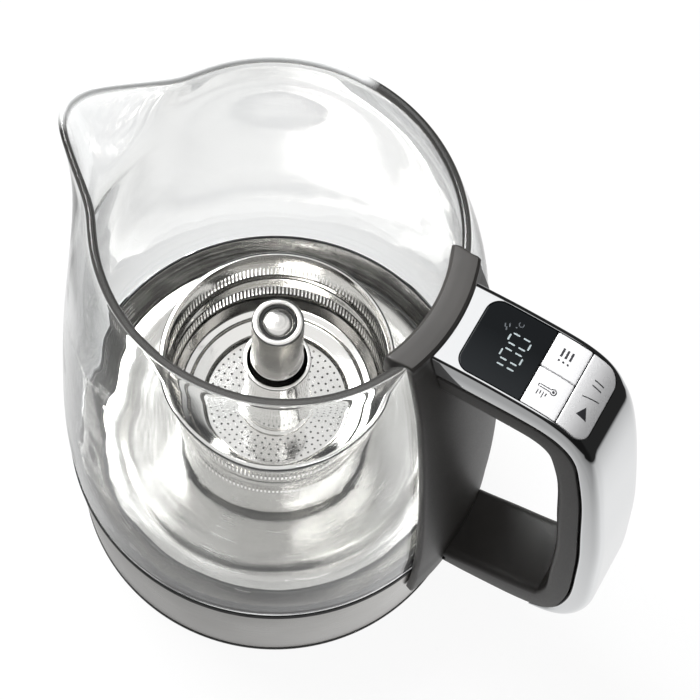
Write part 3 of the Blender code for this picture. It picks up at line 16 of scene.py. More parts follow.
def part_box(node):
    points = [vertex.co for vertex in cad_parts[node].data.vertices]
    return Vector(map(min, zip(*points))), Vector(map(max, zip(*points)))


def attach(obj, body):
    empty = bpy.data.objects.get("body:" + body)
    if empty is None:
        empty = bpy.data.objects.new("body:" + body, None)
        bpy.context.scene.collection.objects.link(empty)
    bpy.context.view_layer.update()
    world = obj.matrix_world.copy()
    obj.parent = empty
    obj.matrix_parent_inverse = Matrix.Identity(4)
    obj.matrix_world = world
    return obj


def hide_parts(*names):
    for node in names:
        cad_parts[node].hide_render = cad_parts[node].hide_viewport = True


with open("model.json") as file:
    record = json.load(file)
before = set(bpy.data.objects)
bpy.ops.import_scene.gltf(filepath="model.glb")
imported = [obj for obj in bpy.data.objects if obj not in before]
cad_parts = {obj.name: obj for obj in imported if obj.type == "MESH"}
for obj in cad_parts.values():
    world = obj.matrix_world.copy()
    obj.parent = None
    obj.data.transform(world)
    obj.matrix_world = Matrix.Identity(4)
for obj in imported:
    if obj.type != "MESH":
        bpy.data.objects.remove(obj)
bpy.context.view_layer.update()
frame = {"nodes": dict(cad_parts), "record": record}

# Taken from the frame
SKIRT_LOW, SKIRT_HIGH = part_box("base_skirt")
AXIS_X = (SKIRT_LOW.x + SKIRT_HIGH.x) / 2
BODY_RADIUS = (SKIRT_HIGH.x - SKIRT_LOW.x) / 2
SKIRT_BOTTOM, SKIRT_TOP = SKIRT_LOW.z, SKIRT_HIGH.z
GLASS_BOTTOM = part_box("glass_jug")[0].z
SEAL_LOW, SEAL_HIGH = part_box("seal_ring")[0].z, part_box("seal_ring")[1].z
SEAL_RADIUS = (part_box("seal_ring")[1].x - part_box("seal_ring")[0].x) / 2
BASKET_BOTTOM, BASKET_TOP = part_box("basket_shell")[0].z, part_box("basket_shell")[1].z
POST_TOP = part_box("guide_post")[1].z
HANDLE_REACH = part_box("chrome_shell")[1].x - AXIS_X
HANDLE_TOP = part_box("chrome_shell")[1].z
HANDLE_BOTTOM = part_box("grip_inner")[0].z
HANDLE_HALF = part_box("chrome_shell")[1].y

# Jug
FIT = 0.0003
RIM_RADIUS = 0.0579
RIM_HEIGHT = 0.2130
RIM_TILT_SHARE = 0.086
GLASS_WALL = 0.0027
BEAD_RADIUS = 0.00145
SPOUT_REACH = 0.0768
SPOUT_TIP_HALF_WIDTH = 0.0085
SPOUT_TIP_DEPTH = 0.0035
SPOUT_HALF_ANGLE = 28.0
SPOUT_START_SHARE = 0.66
SPOUT_CURVE = 1.7
SPOUT_BLEND_ANGLE = 47.0
BLUNT_POWER = 26.0
BLEND_POWER = 60.0
JUG_PROFILE_SHARES = ((0, 1.0), (0.08, 1.015), (0.30, 0.93), (0.55, 0.737), (0.65, 0.632),
                      (0.80, 0.444), (0.90, 0.245), (0.96, 0.10), (1.0, 0))
JUG_COLUMNS = 256
JUG_ROWS = 96
BEAD_STEPS = 10
SPOUT_CROWDING = 0.55
# Painted highlight on the glass rim: the way it faces and its spread.
PAINTED_RIM_LIGHT_ANGLE = 137.0
PAINTED_RIM_LIGHT_SPREAD = 50.0

# Base
SKIRT_TAPER = 0.0020
SKIRT_WALL = 0.0008
SKIRT_FLANGE = 0.0038
SEAL_WIDTH = 0.0034
GASKET_WIDTH = 0.0075
LIP_WIDTH = 0.0008
LIP_RISE = 0.0038
PLATE_RISE = 0.0017
PLATE_WALL = 0.0008
PLATE_SLOPE = 0.0040
PLATE_LIP_HEIGHT = 0.0010
PLATE_LIP_WIDTH = 0.0025
PLATE_EDGE_WIDTH = 0.0033
FOOT_WIDTH = 0.0066
FOOT_RECESS = 0.0030
COVER_THICKNESS = 0.0020
FOOT_SET_IN = 0.0024
FOOT_PROUD = 0.0003

# Post and basket
POST_RADIUS = 0.0088
POST_SHOULDER = 0.0026
POST_RECESS_RADIUS = 0.0064
POST_RECESS_DEPTH = 0.0022
POST_FOOT = 0.0484
POST_FOOT_WIDTH = 0.0052
POST_FOOT_THICKNESS = 0.0012
CAP_RADIUS = 0.0053
CAP_CROWN = 0.0006
CAP_DROP = 0.0002
BASKET_RIM_RADIUS = 0.0407
BASKET_BEAD = 0.0010
BASKET_TOP_RADIUS = 0.0393
BASKET_BOTTOM_RADIUS = 0.0365
BASKET_WALL = 0.0007
SLIT_DEPTHS = (0.0105, 0.0255)
SLIT_HEIGHT = 0.0054
SLITS_PER_ROW = 168
SLIT_SHARE = 0.46
SIEVE_RISE = 0.0130
SIEVE_WALL = 0.0006
SIEVE_FLAT_RADIUS = 0.0252
SIEVE_EDGE_HEIGHT = 0.0090
SIEVE_TERRACES = ((0.0261, 0.0021), (0.0272, 0.0024), (0.0312, 0.0037), (0.0317, 0.0046), (0.0343, 0.0054))
SIEVE_HOLE_RADIUS = 0.00042
SIEVE_HOLE_SIDES = 8
SIEVE_RING_RADII = (0.0145, 0.0168, 0.0191, 0.0214, 0.0237)
SIEVE_HOLE_PITCH = 0.0028
SLEEVE_RADIUS = 0.0113
SLEEVE_WALL = 0.0009
SLEEVE_ROLL = 0.0005
SLEEVE_COLLAR = 0.0016
SLEEVE_COLLAR_HEIGHT = 0.0008
SLEEVE_FOOT = 0.0042
SLEEVE_FOOT_HEIGHT = 0.0011
HUB_MAGNET_HEIGHT = 0.0076

# Connector
SOCKET_RADIUS = 0.0170
SOCKET_WALL = 0.0030
SOCKET_LIFT = 0.0016
SOCKET_HEIGHT = 0.0180
SOCKET_ROOF = 0.0022
SOCKET_FLANGE = 0.0040
SOCKET_FLANGE_HEIGHT = 0.0017

# Handle
STRIP_THICKNESS = 0.0029
STRIP_GAP = 0.00035
STRIP_HALF_ANGLE = 20.5
STRIP_BOTTOM = 0.0290
COLLAR_SPREAD = 3.7
COLLAR_INNER_DEPTH = 0.0060
STRIP_EDGE = 0.0008
COLLAR_POWER = 8
COLLAR_RADIUS = RIM_RADIUS + STRIP_GAP + STRIP_THICKNESS + FIT
CHROME_OUTER_SHARES = ((0.0, 1.0), (0.173, 1.0), (0.359, 0.995), (0.531, 0.984), (0.645, 0.961),
                       (0.724, 0.920), (0.781, 0.867), (0.838, 0.776), (0.916, 0.594), (0.953, 0.488),
                       (0.986, 0.324), (1.0, 0.218), (0.977, 0.1185), (0.917, 0.0657), (0.817, 0.034),
                       (0.717, 0.0240))
CHROME_INNER_SHARES = ((0.0, 0.927), (0.30, 0.927), (0.445, 0.925), (0.565, 0.913), (0.660, 0.878),
                       (0.716, 0.812), (0.779, 0.675), (0.821, 0.535), (0.853, 0.429), (0.873, 0.313),
                       (0.884, 0.205), (0.862, 0.1156), (0.810, 0.0600), (0.724, 0.0360))
FINGER_SHARES = ((0.0, 0.868), (0.259, 0.868), (0.366, 0.866), (0.462, 0.862), (0.541, 0.843),
                 (0.585, 0.805), (0.632, 0.731), (0.681, 0.582), (0.7196, 0.468), (0.741, 0.356),
                 (0.756, 0.235), (0.758, 0.155), (0.735, 0.122))
LOWER_ARM_TOP_SHARES = ((0.735, 0.122), (0.652, 0.108), (0.434, 0.084), (0.216, 0.060), (0.1, 0.056))
LOWER_ARM_UNDER_SHARES = ((0.7125, 0.0236), (0.661, 0.017), (0.495, 0.006), (0.323, 0), (0.166, 0.001),
                          (0.1, 0.003))
ARM_STEPS = 150
CHROME_NEAR_EDGE = 0.0013
CHROME_FAR_EDGE = 0.0021
CHROME_BACK_EDGE = 0.0045
CHROME_SEAM_EDGE = 0.0020

# Panel
PANEL_THICKNESS = 0.0015
PANEL_CORNER = 0.0045
PANEL_GAP = 0.0003
KEY_CORNER = 0.0005
KEY_EDGE = 0.00025
RECESS_DEPTH = 0.0030
MARK_HEIGHT = 0.00003
MARK_SUNK = 0.00020
MARK_SLICE = 0.0004
PANEL_FAR_MARGIN = 0.0010
WINDOW_SHIFT = 0.0011

# Turning and shading
TURN_COLUMNS = 192
EDGE_STEPS = 4
SHARP_ANGLE = 40.0


# Curves
def smooth_step(share):
    """0 to 1 with level ends: three times the square less twice the cube."""
    share = np.clip(share, 0, 1)
    return share * share * (3 - 2 * share)


def natural_curve(points, count):
    """Evenly spaced places on a cubic spline through the points, with no bend at its two ends."""
    points = np.array(points, float)
    along = np.concatenate([[0], np.cumsum(np.linalg.norm(np.diff(points, axis=0), axis=1))])
    gap = np.diff(along)
    last = len(points) - 1
    inner = np.arange(1, last)
    system = np.eye(last + 1)
    system[inner, inner - 1] = gap[:-1]
    system[inner, inner] = 2 * (gap[:-1] + gap[1:])
    system[inner, inner + 1] = gap[1:]
    right = np.zeros_like(points)
    right[1:-1] = 6 * np.diff(np.diff(points, axis=0) / gap[:, None], axis=0)
    bend = np.linalg.solve(system, right)
    at = np.linspace(0, along[-1], count)
    i = np.clip(np.searchsorted(along, at, side="right") - 1, 0, last - 1)
    span = gap[i][:, None]
    to_next = (along[i + 1] - at)[:, None]
    from_last = (at - along[i])[:, None]
    cubic = (bend[i] * to_next ** 3 + bend[i + 1] * from_last ** 3) / (6 * span)
    line = (points[i] / span - bend[i] * span / 6) * to_next
    return cubic + line + (points[i + 1] / span - bend[i + 1] * span / 6) * from_last


def eased(points, reach, closed=True):
    """An outline with each corner made a parabola that starts and ends a reach from it, or less on a short side."""
    points = np.array(points, float)
    reach = np.broadcast_to(np.asarray(reach, float), len(points))
    back = np.roll(points, 1, axis=0) - points
    ahead = np.roll(points, -1, axis=0) - points
    back_length = np.linalg.norm(back, axis=1)
    ahead_length = np.linalg.norm(ahead, axis=1)
    cut = np.minimum(reach, 0.46 * np.minimum(back_length, ahead_length))[:, None]
    start = points + back / back_length[:, None] * cut
    end = points + ahead / ahead_length[:, None] * cut
    t = np.linspace(0, 1, EDGE_STEPS + 1)[None, :, None]
    curve = (1 - t) ** 2 * start[:, None] + 2 * t * (1 - t) * points[:, None] + t ** 2 * end[:, None]
    if closed:
        return curve.reshape(-1, 2)
    return np.concatenate([points[:1], curve[1:-1].reshape(-1, 2), points[-1:]])


def in_handle(shares, count=ARM_STEPS):
    """A smooth curve in the handle's side view, from shares of its reach and of its height."""
    shares = np.array(shares, float)
    across = COLLAR_RADIUS + shares[:, 0] * (HANDLE_REACH - COLLAR_RADIUS)
    up = HANDLE_BOTTOM + shares[:, 1] * (HANDLE_TOP - HANDLE_BOTTOM)
    return natural_curve(np.stack([across, up], axis=1), count)


# Meshes
def grid_faces(rows, columns, closed_rows=False, closed_columns=True):
    """Quads of a grid whose points are numbered along its rows."""
    i = np.arange(rows if closed_rows else rows - 1)[:, None]
    j = np.arange(columns if closed_columns else columns - 1)[None, :]
    low, high = i * columns, (i + 1) % rows * columns
    beside = (j + 1) % columns
    corners = np.broadcast_arrays(low + j, high + j, high + beside, low + beside)
    return np.stack(corners, axis=-1).reshape(-1, 4)


def mesh_of(name, points, faces):
    """A mesh from an array of points about the jug's axis and lists of faces, moved to where the axis stands."""
    mesh = bpy.data.meshes.new(name)
    moved = np.asarray(points, float).reshape(-1, 3) + [AXIS_X, 0, 0]
    mesh.from_pydata(moved.tolist(), [], [list(face) for face in faces])
    mesh.validate()
    return mesh


def turned_mesh(name, profile, columns=TURN_COLUMNS, closed=True, centre=(0, 0)):
    """A profile of radius and height turned about an upright line. It runs down the outer side, and an open one
    starts and ends on the line, where a fan of triangles closes it."""
    profile = np.array(profile, float)
    rings = profile if closed else profile[1:-1]
    angle = 2 * math.pi * np.arange(columns) / columns
    x = rings[:, :1] * np.cos(angle) + centre[0]
    y = rings[:, :1] * np.sin(angle) + centre[1]
    points = np.stack([x, y, np.broadcast_to(rings[:, 1:], x.shape)], axis=-1).reshape(-1, 3)
    faces = grid_faces(len(rings), columns, closed_rows=closed).tolist()
    if not closed:
        poles = [(*centre, profile[0, 1]), (*centre, profile[-1, 1])]
        top, bottom = len(points), len(points) + 1
        j = np.arange(columns)
        beside = (j + 1) % columns
        low = (len(rings) - 1) * columns
        faces += np.stack([np.full(columns, top), j, beside], axis=1).tolist()
        faces += np.stack([np.full(columns, bottom), low + beside, low + j], axis=1).tolist()
        points = np.concatenate([points, poles])
    return mesh_of(name, points, faces)


def carried_mesh(name, sections):
    """Closed sections in a row, joined by quads, with the first and the last filled. Turned inside out if the
    volume that the faces hold comes out negative."""
    rows, columns = sections.shape[:2]
    faces = grid_faces(rows, columns).tolist()
    faces.append(list(range(columns)))
    faces.append(list(range((rows - 1) * columns, rows * columns))[::-1])
    points = sections.reshape(-1, 3)
    quads = np.array(faces[:-2])
    a, b, c, d = (points[quads[:, i]] for i in range(4))
    volume = np.einsum("ij,ij->i", a, np.cross(b, c)).sum() + np.einsum("ij,ij->i", a, np.cross(c, d)).sum()
    if volume < 0:
        faces = [face[::-1] for face in faces]
    return mesh_of(name, points, faces)


def add_piece(name, mesh, finish, body, slot, *stands_for):
    """A finished piece that rides on a body and stands for the frame's nodes that are named."""
    piece = bpy.data.objects.new(name, mesh)
    bpy.context.scene.collection.objects.link(piece)
    mesh.materials.append(finish)
    mesh.shade_smooth()
    mesh.set_sharp_from_angle(angle=math.radians(SHARP_ANGLE))
    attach(piece, body)
    if stands_for:
        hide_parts(*stands_for)
    return piece


# Finishes
class Finish:
    """A material under its Principled shader, with short calls that add nodes and join them."""

    def __init__(self, name, colour, roughness, **sockets):
        self.material = bpy.data.materials.new(name)
        self.material.use_nodes = True
        self.tree = self.material.node_tree
        self.shader = self.tree.nodes["Principled BSDF"]
        self.shader.inputs["Base Color"].default_value = (*colour, 1)
        self.shader.inputs["Roughness"].default_value = roughness
        for socket, value in sockets.items():
            self.shader.inputs[socket.replace("_", " ")].default_value = value
        self.place = self.add("ShaderNodeTexCoord").outputs["Object"]

    def add(self, kind, **settings):
        node = self.tree.nodes.new(kind)
        for name, value in settings.items():
            setattr(node, name, value)
        return node

    def join(self, output, target):
        self.tree.links.new(output, target)

    def noise(self, scale, stretch=(1, 1, 1), detail=3.0, roughness=0.5, place=None):
        """A noise value on places about the jug's axis, stretched along each direction."""
        mapping = self.add("ShaderNodeMapping")
        mapping.inputs["Location"].default_value = (-AXIS_X * stretch[0], 0, 0)
        mapping.inputs["Scale"].default_value = stretch
        self.join(place or self.place, mapping.inputs["Vector"])
        noise = self.add("ShaderNodeTexNoise")
        noise.inputs["Scale"].default_value = scale
        noise.inputs["Detail"].default_value = detail
        noise.inputs["Roughness"].default_value = roughness
        self.join(mapping.outputs["Vector"], noise.inputs["Vector"])
        return noise.outputs["Fac"]

    def round_place(self, turn_share):
        """Radius, angle times a share, and height about the jug's axis, as a vector."""
        parts = self.add("ShaderNodeSeparateXYZ")
        self.join(self.place, parts.inputs["Vector"])
        x = self.maths("SUBTRACT", parts.outputs["X"], AXIS_X)
        squares = self.maths("ADD", self.maths("MULTIPLY", x, x),
                             self.maths("MULTIPLY", parts.outputs["Y"], parts.outputs["Y"]))
        radius = self.maths("SQRT", squares)
        angle = self.maths("MULTIPLY", self.maths("ARCTAN2", parts.outputs["Y"], x), turn_share)
        whole = self.add("ShaderNodeCombineXYZ")
        self.join(radius, whole.inputs["X"])
        self.join(angle, whole.inputs["Y"])
        self.join(parts.outputs["Z"], whole.inputs["Z"])
        return whole.outputs["Vector"]

    def maths(self, operation, a, b=None):
        node = self.add("ShaderNodeMath", operation=operation)
        for socket, value in zip(node.inputs, (a, b)):
            if isinstance(value, bpy.types.NodeSocket):
                self.join(value, socket)
            elif value is not None:
                socket.default_value = value
        return node.outputs["Value"]

    def between(self, value, low, high, from_low=0.3, from_high=0.7):
        """The value spread from one range to another."""
        spread = self.add("ShaderNodeMapRange")
        for socket, number in zip(("From Min", "From Max", "To Min", "To Max"), (from_low, from_high, low, high)):
            spread.inputs[socket].default_value = number
        self.join(value, spread.inputs["Value"])
        return spread.outputs["Result"]

    def roughness_from(self, value, low, high, **ends):
        self.join(self.between(value, low, high, **ends), self.shader.inputs["Roughness"])

    def colour_from(self, value, dark, light, from_low=0.3, from_high=0.7):
        ramp = self.add("ShaderNodeValToRGB")
        ramp.color_ramp.elements[0].position = from_low
        ramp.color_ramp.elements[1].position = from_high
        ramp.color_ramp.elements[0].color = (*dark, 1)
        ramp.color_ramp.elements[1].color = (*light, 1)
        self.join(value, ramp.inputs["Fac"])
        self.join(ramp.outputs["Color"], self.shader.inputs["Base Color"])

    def bump_from(self, value, strength, distance):
        bump = self.add("ShaderNodeBump")
        bump.inputs["Strength"].default_value = strength
        bump.inputs["Distance"].default_value = distance
        self.join(value, bump.inputs["Height"])
        self.join(bump.outputs["Normal"], self.shader.inputs["Normal"])


def clear_glass():
    """Clear glass with the faint waves of a blown wall. Its rim has a painted highlight in place of the light that
    the wall's end carries like a rod: a white shader is mixed in on the side away from the camera, and a faint
    painted glow lies just under the rim all round; elsewhere the rim is plain glass, which looks dark."""
    finish = Finish("clear_glass", (0.97, 0.98, 0.98), 0.0, IOR=1.47, Transmission_Weight=1.0)
    parts = finish.add("ShaderNodeSeparateXYZ")
    finish.join(finish.place, parts.inputs["Vector"])
    across = finish.maths("SUBTRACT", parts.outputs["X"], AXIS_X)
    level = finish.maths("ADD", parts.outputs["Z"], finish.maths("MULTIPLY", across, RIM_TILT_SHARE))
    waves = finish.noise(30, stretch=(1, 1, 0.6), detail=1.5)
    finish.bump_from(finish.maths("MULTIPLY", waves, finish.between(level, 2.4, 0.7, 0.08, 0.16)), 0.18, 0.0018)
    # Painted highlight: a white shader mixed into the rim on the side away from the camera.
    turn = math.radians(PAINTED_RIM_LIGHT_ANGLE)
    ahead = finish.maths("ADD", finish.maths("MULTIPLY", across, math.cos(turn)),
                         finish.maths("MULTIPLY", parts.outputs["Y"], math.sin(turn)))
    beside = finish.maths("SUBTRACT", finish.maths("MULTIPLY", parts.outputs["Y"], math.cos(turn)),
                          finish.maths("MULTIPLY", across, math.sin(turn)))
    away = finish.maths("ABSOLUTE", finish.maths("ARCTAN2", beside, ahead))
    half = math.radians(PAINTED_RIM_LIGHT_SPREAD)
    light = finish.between(away, 0.88, 0.0, half - 0.10, half)
    at_rim = finish.between(level, 0.0, 1.0, RIM_HEIGHT - 0.0028, RIM_HEIGHT - 0.0012)
    # Painted glow: a faint emission just under the rim, all round.
    glow = finish.between(level, 0.0, 0.05, RIM_HEIGHT - 0.010, RIM_HEIGHT - 0.003)
    finish.shader.inputs["Emission Color"].default_value = (0.95, 0.93, 0.90, 1)
    finish.join(glow, finish.shader.inputs["Emission Strength"])
    painted_rim_white = finish.add("ShaderNodeBsdfPrincipled")
    painted_rim_white.inputs["Base Color"].default_value = (0.93, 0.94, 0.94, 1)
    painted_rim_white.inputs["Roughness"].default_value = 0.08
    rim = finish.add("ShaderNodeMixShader")
    finish.join(finish.maths("MULTIPLY", light, at_rim), rim.inputs["Fac"])
    finish.join(finish.shader.outputs["BSDF"], rim.inputs[1])
    finish.join(painted_rim_white.outputs["BSDF"], rim.inputs[2])
    shadow = finish.add("ShaderNodeLightPath")
    see_through = finish.add("ShaderNodeBsdfTransparent")
    see_through.inputs["Color"].default_value = (0.93, 0.95, 0.95, 1)
    mix = finish.add("ShaderNodeMixShader")
    finish.join(shadow.outputs["Is Shadow Ray"], mix.inputs["Fac"])
    finish.join(rim.outputs["Shader"], mix.inputs[1])
    finish.join(see_through.outputs["BSDF"], mix.inputs[2])
    finish.join(mix.outputs["Shader"], finish.tree.nodes["Material Output"].inputs["Surface"])
    return finish.material


def brushed_steel(name, colour, roughness, fineness=5200):
    """Steel brushed round the axis: noise that is long round it and very short up it."""
    finish = Finish(name, colour, roughness, Metallic=1.0)
    lines = finish.noise(1.0, stretch=(70, 70, fineness), detail=4.0)
    smudge = finish.noise(38, detail=2.0)
    finish.colour_from(lines, [c * 0.86 for c in colour], [min(1, c * 1.10) for c in colour])
    finish.roughness_from(finish.maths("MULTIPLY", lines, smudge), roughness * 0.8, roughness * 1.35,
                          from_low=0.12, from_high=0.42)
    finish.bump_from(lines, 0.12, 0.00004)
    return finish.material


def polished_steel(name="polished_steel", colour=(0.78, 0.77, 0.75), roughness=0.09, rings=900):
    """Steel spun and polished: fine rings by radius and height, and faint smudges."""
    finish = Finish(name, colour, roughness, Metallic=1.0)
    lines = finish.noise(1.0, stretch=(rings, 1.2, rings), detail=3.0, place=finish.round_place(1.0))
    smudge = finish.noise(60, detail=3.0)
    finish.roughness_from(finish.maths("MULTIPLY", lines, smudge), roughness * 0.6, roughness * 1.7,
                          from_low=0.12, from_high=0.42)
    finish.bump_from(lines, 0.05, 0.00003)
    return finish.material


def mirror_chrome():
    """Plated chrome with barely seen smudges."""
    finish = Finish("mirror_chrome", (0.86, 0.87, 0.88), 0.03, Metallic=1.0)
    smudge = finish.noise(75, detail=4.0)
    finish.roughness_from(smudge, 0.018, 0.055)
    return finish.material


def moulded_plastic(name, colour, roughness, grain=2600):
    """Moulded plastic with a fine spark-eroded grain."""
    finish = Finish(name, colour, roughness)
    grain_height = finish.noise(grain, detail=2.0, roughness=0.6)
    cloud = finish.noise(55, detail=2.0)
    finish.colour_from(cloud, [c * 0.90 for c in colour], [c * 1.10 for c in colour])
    finish.roughness_from(grain_height, roughness * 0.88, roughness * 1.12)
    finish.bump_from(grain_height, 0.25, 0.00006)
    return finish.material


def black_window():
    """Black gloss over the display, with a painted sheen that makes it a little greyer towards the near side."""
    finish = Finish("black_window", (0.006, 0.007, 0.008), 0.07, IOR=1.45, Specular_IOR_Level=0.16)
    parts = finish.add("ShaderNodeSeparateXYZ")
    finish.join(finish.place, parts.inputs["Vector"])
    # Painted sheen: the colour goes greyer towards the near side, -Y.
    finish.colour_from(finish.between(parts.outputs["Y"], 1.0, 0.0, -HANDLE_HALF, HANDLE_HALF * 0.2),
                       (0.002, 0.003, 0.004), (0.014, 0.016, 0.018), 0.0, 1.0)
    finish.roughness_from(finish.noise(140, stretch=(1, 4, 1), detail=4.0), 0.04, 0.11)
    return finish.material


def satin_key():
    """Silver lacquer on the keys with a barely seen sparkle."""
    finish = Finish("satin_key", (0.88, 0.88, 0.89), 0.28, Metallic=0.2)
    sparkle = finish.noise(5200, detail=1.0)
    finish.colour_from(sparkle, (0.865, 0.865, 0.875), (0.895, 0.895, 0.905))
    finish.roughness_from(finish.noise(120, detail=3.0), 0.24, 0.34)
    return finish.material


def soft_rubber(name, colour):
    """Silicone with a dull bloom."""
    finish = Finish(name, colour, 0.5, Specular_IOR_Level=0.2)
    cloud = finish.noise(180, detail=3.0)
    finish.colour_from(cloud, [c * 0.85 for c in colour], [c * 1.15 for c in colour])
    finish.roughness_from(cloud, 0.42, 0.58)
    finish.bump_from(finish.noise(1800, detail=2.0), 0.12, 0.00005)
    return finish.material


def printed_ink(name, colour, roughness=0.45):
    """Screen-printed ink with a slightly uneven coat."""
    finish = Finish(name, colour, roughness)
    coat = finish.noise(3000, detail=2.0)
    finish.colour_from(coat, [c * 0.92 for c in colour], [min(1, c * 1.08) for c in colour])
    finish.roughness_from(coat, roughness * 0.9, roughness * 1.1)
    return finish.material


def lit_segment(name, colour, glow):
    """Pale blue segments that glow a little."""
    finish = Finish(name, colour, 0.4, Emission_Strength=glow)
    finish.shader.inputs["Emission Color"].default_value = (*colour, 1)
    finish.colour_from(finish.noise(900, detail=1.0), [c * 0.9 for c in colour], [c * 1.1 for c in colour])
    return finish.material


def machined_metal(name, colour, roughness):
    """Metal turned or cast inside the base: fine lines by height and a mottled roughness."""
    finish = Finish(name, colour, roughness, Metallic=1.0)
    lines = finish.noise(1.0, stretch=(160, 160, 3000), detail=3.0)
    finish.colour_from(lines, [c * 0.9 for c in colour], [min(1, c * 1.08) for c in colour])
    finish.roughness_from(finish.noise(220, detail=3.0), roughness * 0.8, roughness * 1.25)
    finish.bump_from(lines, 0.1, 0.00004)
    return finish.material


def lacquered_board():
    """Green board lacquer over a faint weave of glass cloth."""
    finish = Finish("lacquered_board", (0.03, 0.16, 0.07), 0.35)
    weave = finish.noise(1.0, stretch=(1400, 1400, 200), detail=1.0)
    finish.colour_from(weave, (0.025, 0.13, 0.055), (0.04, 0.20, 0.09))
    finish.roughness_from(weave, 0.28, 0.42)
    finish.bump_from(weave, 0.15, 0.00004)
    return finish.material


# Jug
def body_radius(share):
    """Outer radius of the round jug at a share of its height, on a spline through the profile table."""
    table = natural_curve(JUG_PROFILE_SHARES, 400)
    return RIM_RADIUS + (BODY_RADIUS - RIM_RADIUS) * np.interp(share, table[:, 0], table[:, 1])


def rim_reach(angle):
    """Plan radius of the rim: a circle, and about -X the smooth largest of that circle and of a blunt wedge, whose
    flanks are straight lines in polar form and whose tip is a line across the spout."""
    aside = np.abs((angle - math.pi + math.pi) % (2 * math.pi) - math.pi)
    near = np.minimum(aside, math.radians(SPOUT_BLEND_ANGLE))
    spread = math.radians(SPOUT_HALF_ANGLE)
    root = Vector((math.cos(spread), math.sin(spread))) * RIM_RADIUS
    tip = Vector((SPOUT_REACH - SPOUT_TIP_DEPTH, SPOUT_TIP_HALF_WIDTH))
    across = Vector((root.y - tip.y, tip.x - root.x)).normalized()
    flank = across.dot(root) / (across.x * np.cos(near) + across.y * np.sin(near))
    front = SPOUT_REACH / np.cos(near)
    blunt = (flank ** -BLUNT_POWER + front ** -BLUNT_POWER) ** (-1 / BLUNT_POWER)
    drawn = (RIM_RADIUS ** BLEND_POWER + blunt ** BLEND_POWER) ** (1 / BLEND_POWER)
    return np.where(aside > math.radians(SPOUT_BLEND_ANGLE), RIM_RADIUS, drawn)


def make_jug():
    """The glass: outer radius by angle and share of height, up to the bead, half a circle over it, and down inside
    at the wall's thickness. Columns crowd together towards the spout."""
    turn_share = np.arange(JUG_COLUMNS) / JUG_COLUMNS
    angle = math.pi + 2 * math.pi * turn_share - SPOUT_CROWDING * np.sin(2 * math.pi * turn_share)
    reach = rim_reach(angle)
    bead_z = RIM_HEIGHT - RIM_TILT_SHARE * reach * np.cos(angle) - BEAD_RADIUS
    share = np.linspace(0, 1, JUG_ROWS)[:, None]
    flare = np.clip((share - SPOUT_START_SHARE) / (1 - SPOUT_START_SHARE), 0, 1) ** SPOUT_CURVE
    outer_r = body_radius(share) + flare * (reach - RIM_RADIUS)
    rise = GLASS_BOTTOM + share * (bead_z - GLASS_BOTTOM)
    wall = GLASS_WALL + (2 * BEAD_RADIUS - GLASS_WALL) * smooth_step((share - 0.955) / 0.045)
    inner_r = outer_r - wall
    over = math.pi * np.linspace(0, 1, BEAD_STEPS + 1)[1:-1, None]
    bead_r = reach - BEAD_RADIUS + BEAD_RADIUS * np.cos(over)
    bead_rise = bead_z + BEAD_RADIUS * np.sin(over)
    radius = np.concatenate([outer_r, bead_r, inner_r[::-1]])[::-1]
    height = np.concatenate([rise, bead_rise, rise[::-1]])[::-1]
    points = np.stack([radius * np.cos(angle), radius * np.sin(angle), height], axis=-1)
    faces = grid_faces(len(radius), JUG_COLUMNS, closed_rows=True)
    mesh = mesh_of("jug_wall", points, faces.tolist())
    add_piece("jug_wall", mesh, clear_glass(), "jug", "clear_glass", "glass_jug")


# Base
def make_base(steel, rubber, plastic, dull):
    """Skirt, seal, gasket, heating plate and under cover, each a profile turned about the axis."""
    low_radius = BODY_RADIUS - SKIRT_TAPER
    flange = BODY_RADIUS - SKIRT_FLANGE
    under = SKIRT_TOP - SKIRT_WALL
    skirt = eased([(BODY_RADIUS, SKIRT_TOP), (low_radius, SKIRT_BOTTOM), (low_radius - SKIRT_WALL, SKIRT_BOTTOM),
                   (BODY_RADIUS - SKIRT_WALL, under), (flange, under), (flange, SKIRT_TOP)],
                  [0.0007, 0.0004, 0.0003, 0.0003, 0.0001, 0.0001])
    add_piece("skirt_band", turned_mesh("skirt_band", skirt, 256), steel, "jug", "brushed_steel", "base_skirt")
    inner = SEAL_RADIUS - SEAL_WIDTH
    seal = eased([(SEAL_RADIUS, SEAL_HIGH), (SEAL_RADIUS, SEAL_LOW), (inner, SEAL_LOW), (inner, SEAL_HIGH)],
                 [0.0006, 0.0003, 0.0002, 0.0003])
    add_piece("seal_band", turned_mesh("seal_band", seal, 256), rubber, "jug", "black_plastic", "seal_ring")
    outer = inner - FIT
    lip_inner = outer - LIP_WIDTH
    lip_top = SEAL_HIGH + LIP_RISE
    lip = eased([(outer, lip_top), (outer, SEAL_LOW), (lip_inner, SEAL_LOW), (lip_inner, lip_top)], 0.0003)
    add_piece("floor_gasket", turned_mesh("floor_gasket", lip), rubber, "jug", "grey_silicone", "plate_gasket")
    step = outer - GASKET_WIDTH
    high, low = (lip_inner - FIT / 2, lip_top - 0.0004), (step + FIT, SEAL_LOW + PLATE_RISE)
    under = SKIRT_WALL
    cone = eased([high, (high[0], high[1] - under), (low[0] + under, low[1] - under), (low[0], low[1] - under), low],
                 [0.0002, 0.0002, 0.0003, 0.0002, 0.0004])
    add_piece("floor_cone", turned_mesh("floor_cone", cone, 256), dull, "jug", "polished_steel")
    make_heating_plate(step - 2 * FIT, dull)
    make_under_cover(low_radius, plastic)


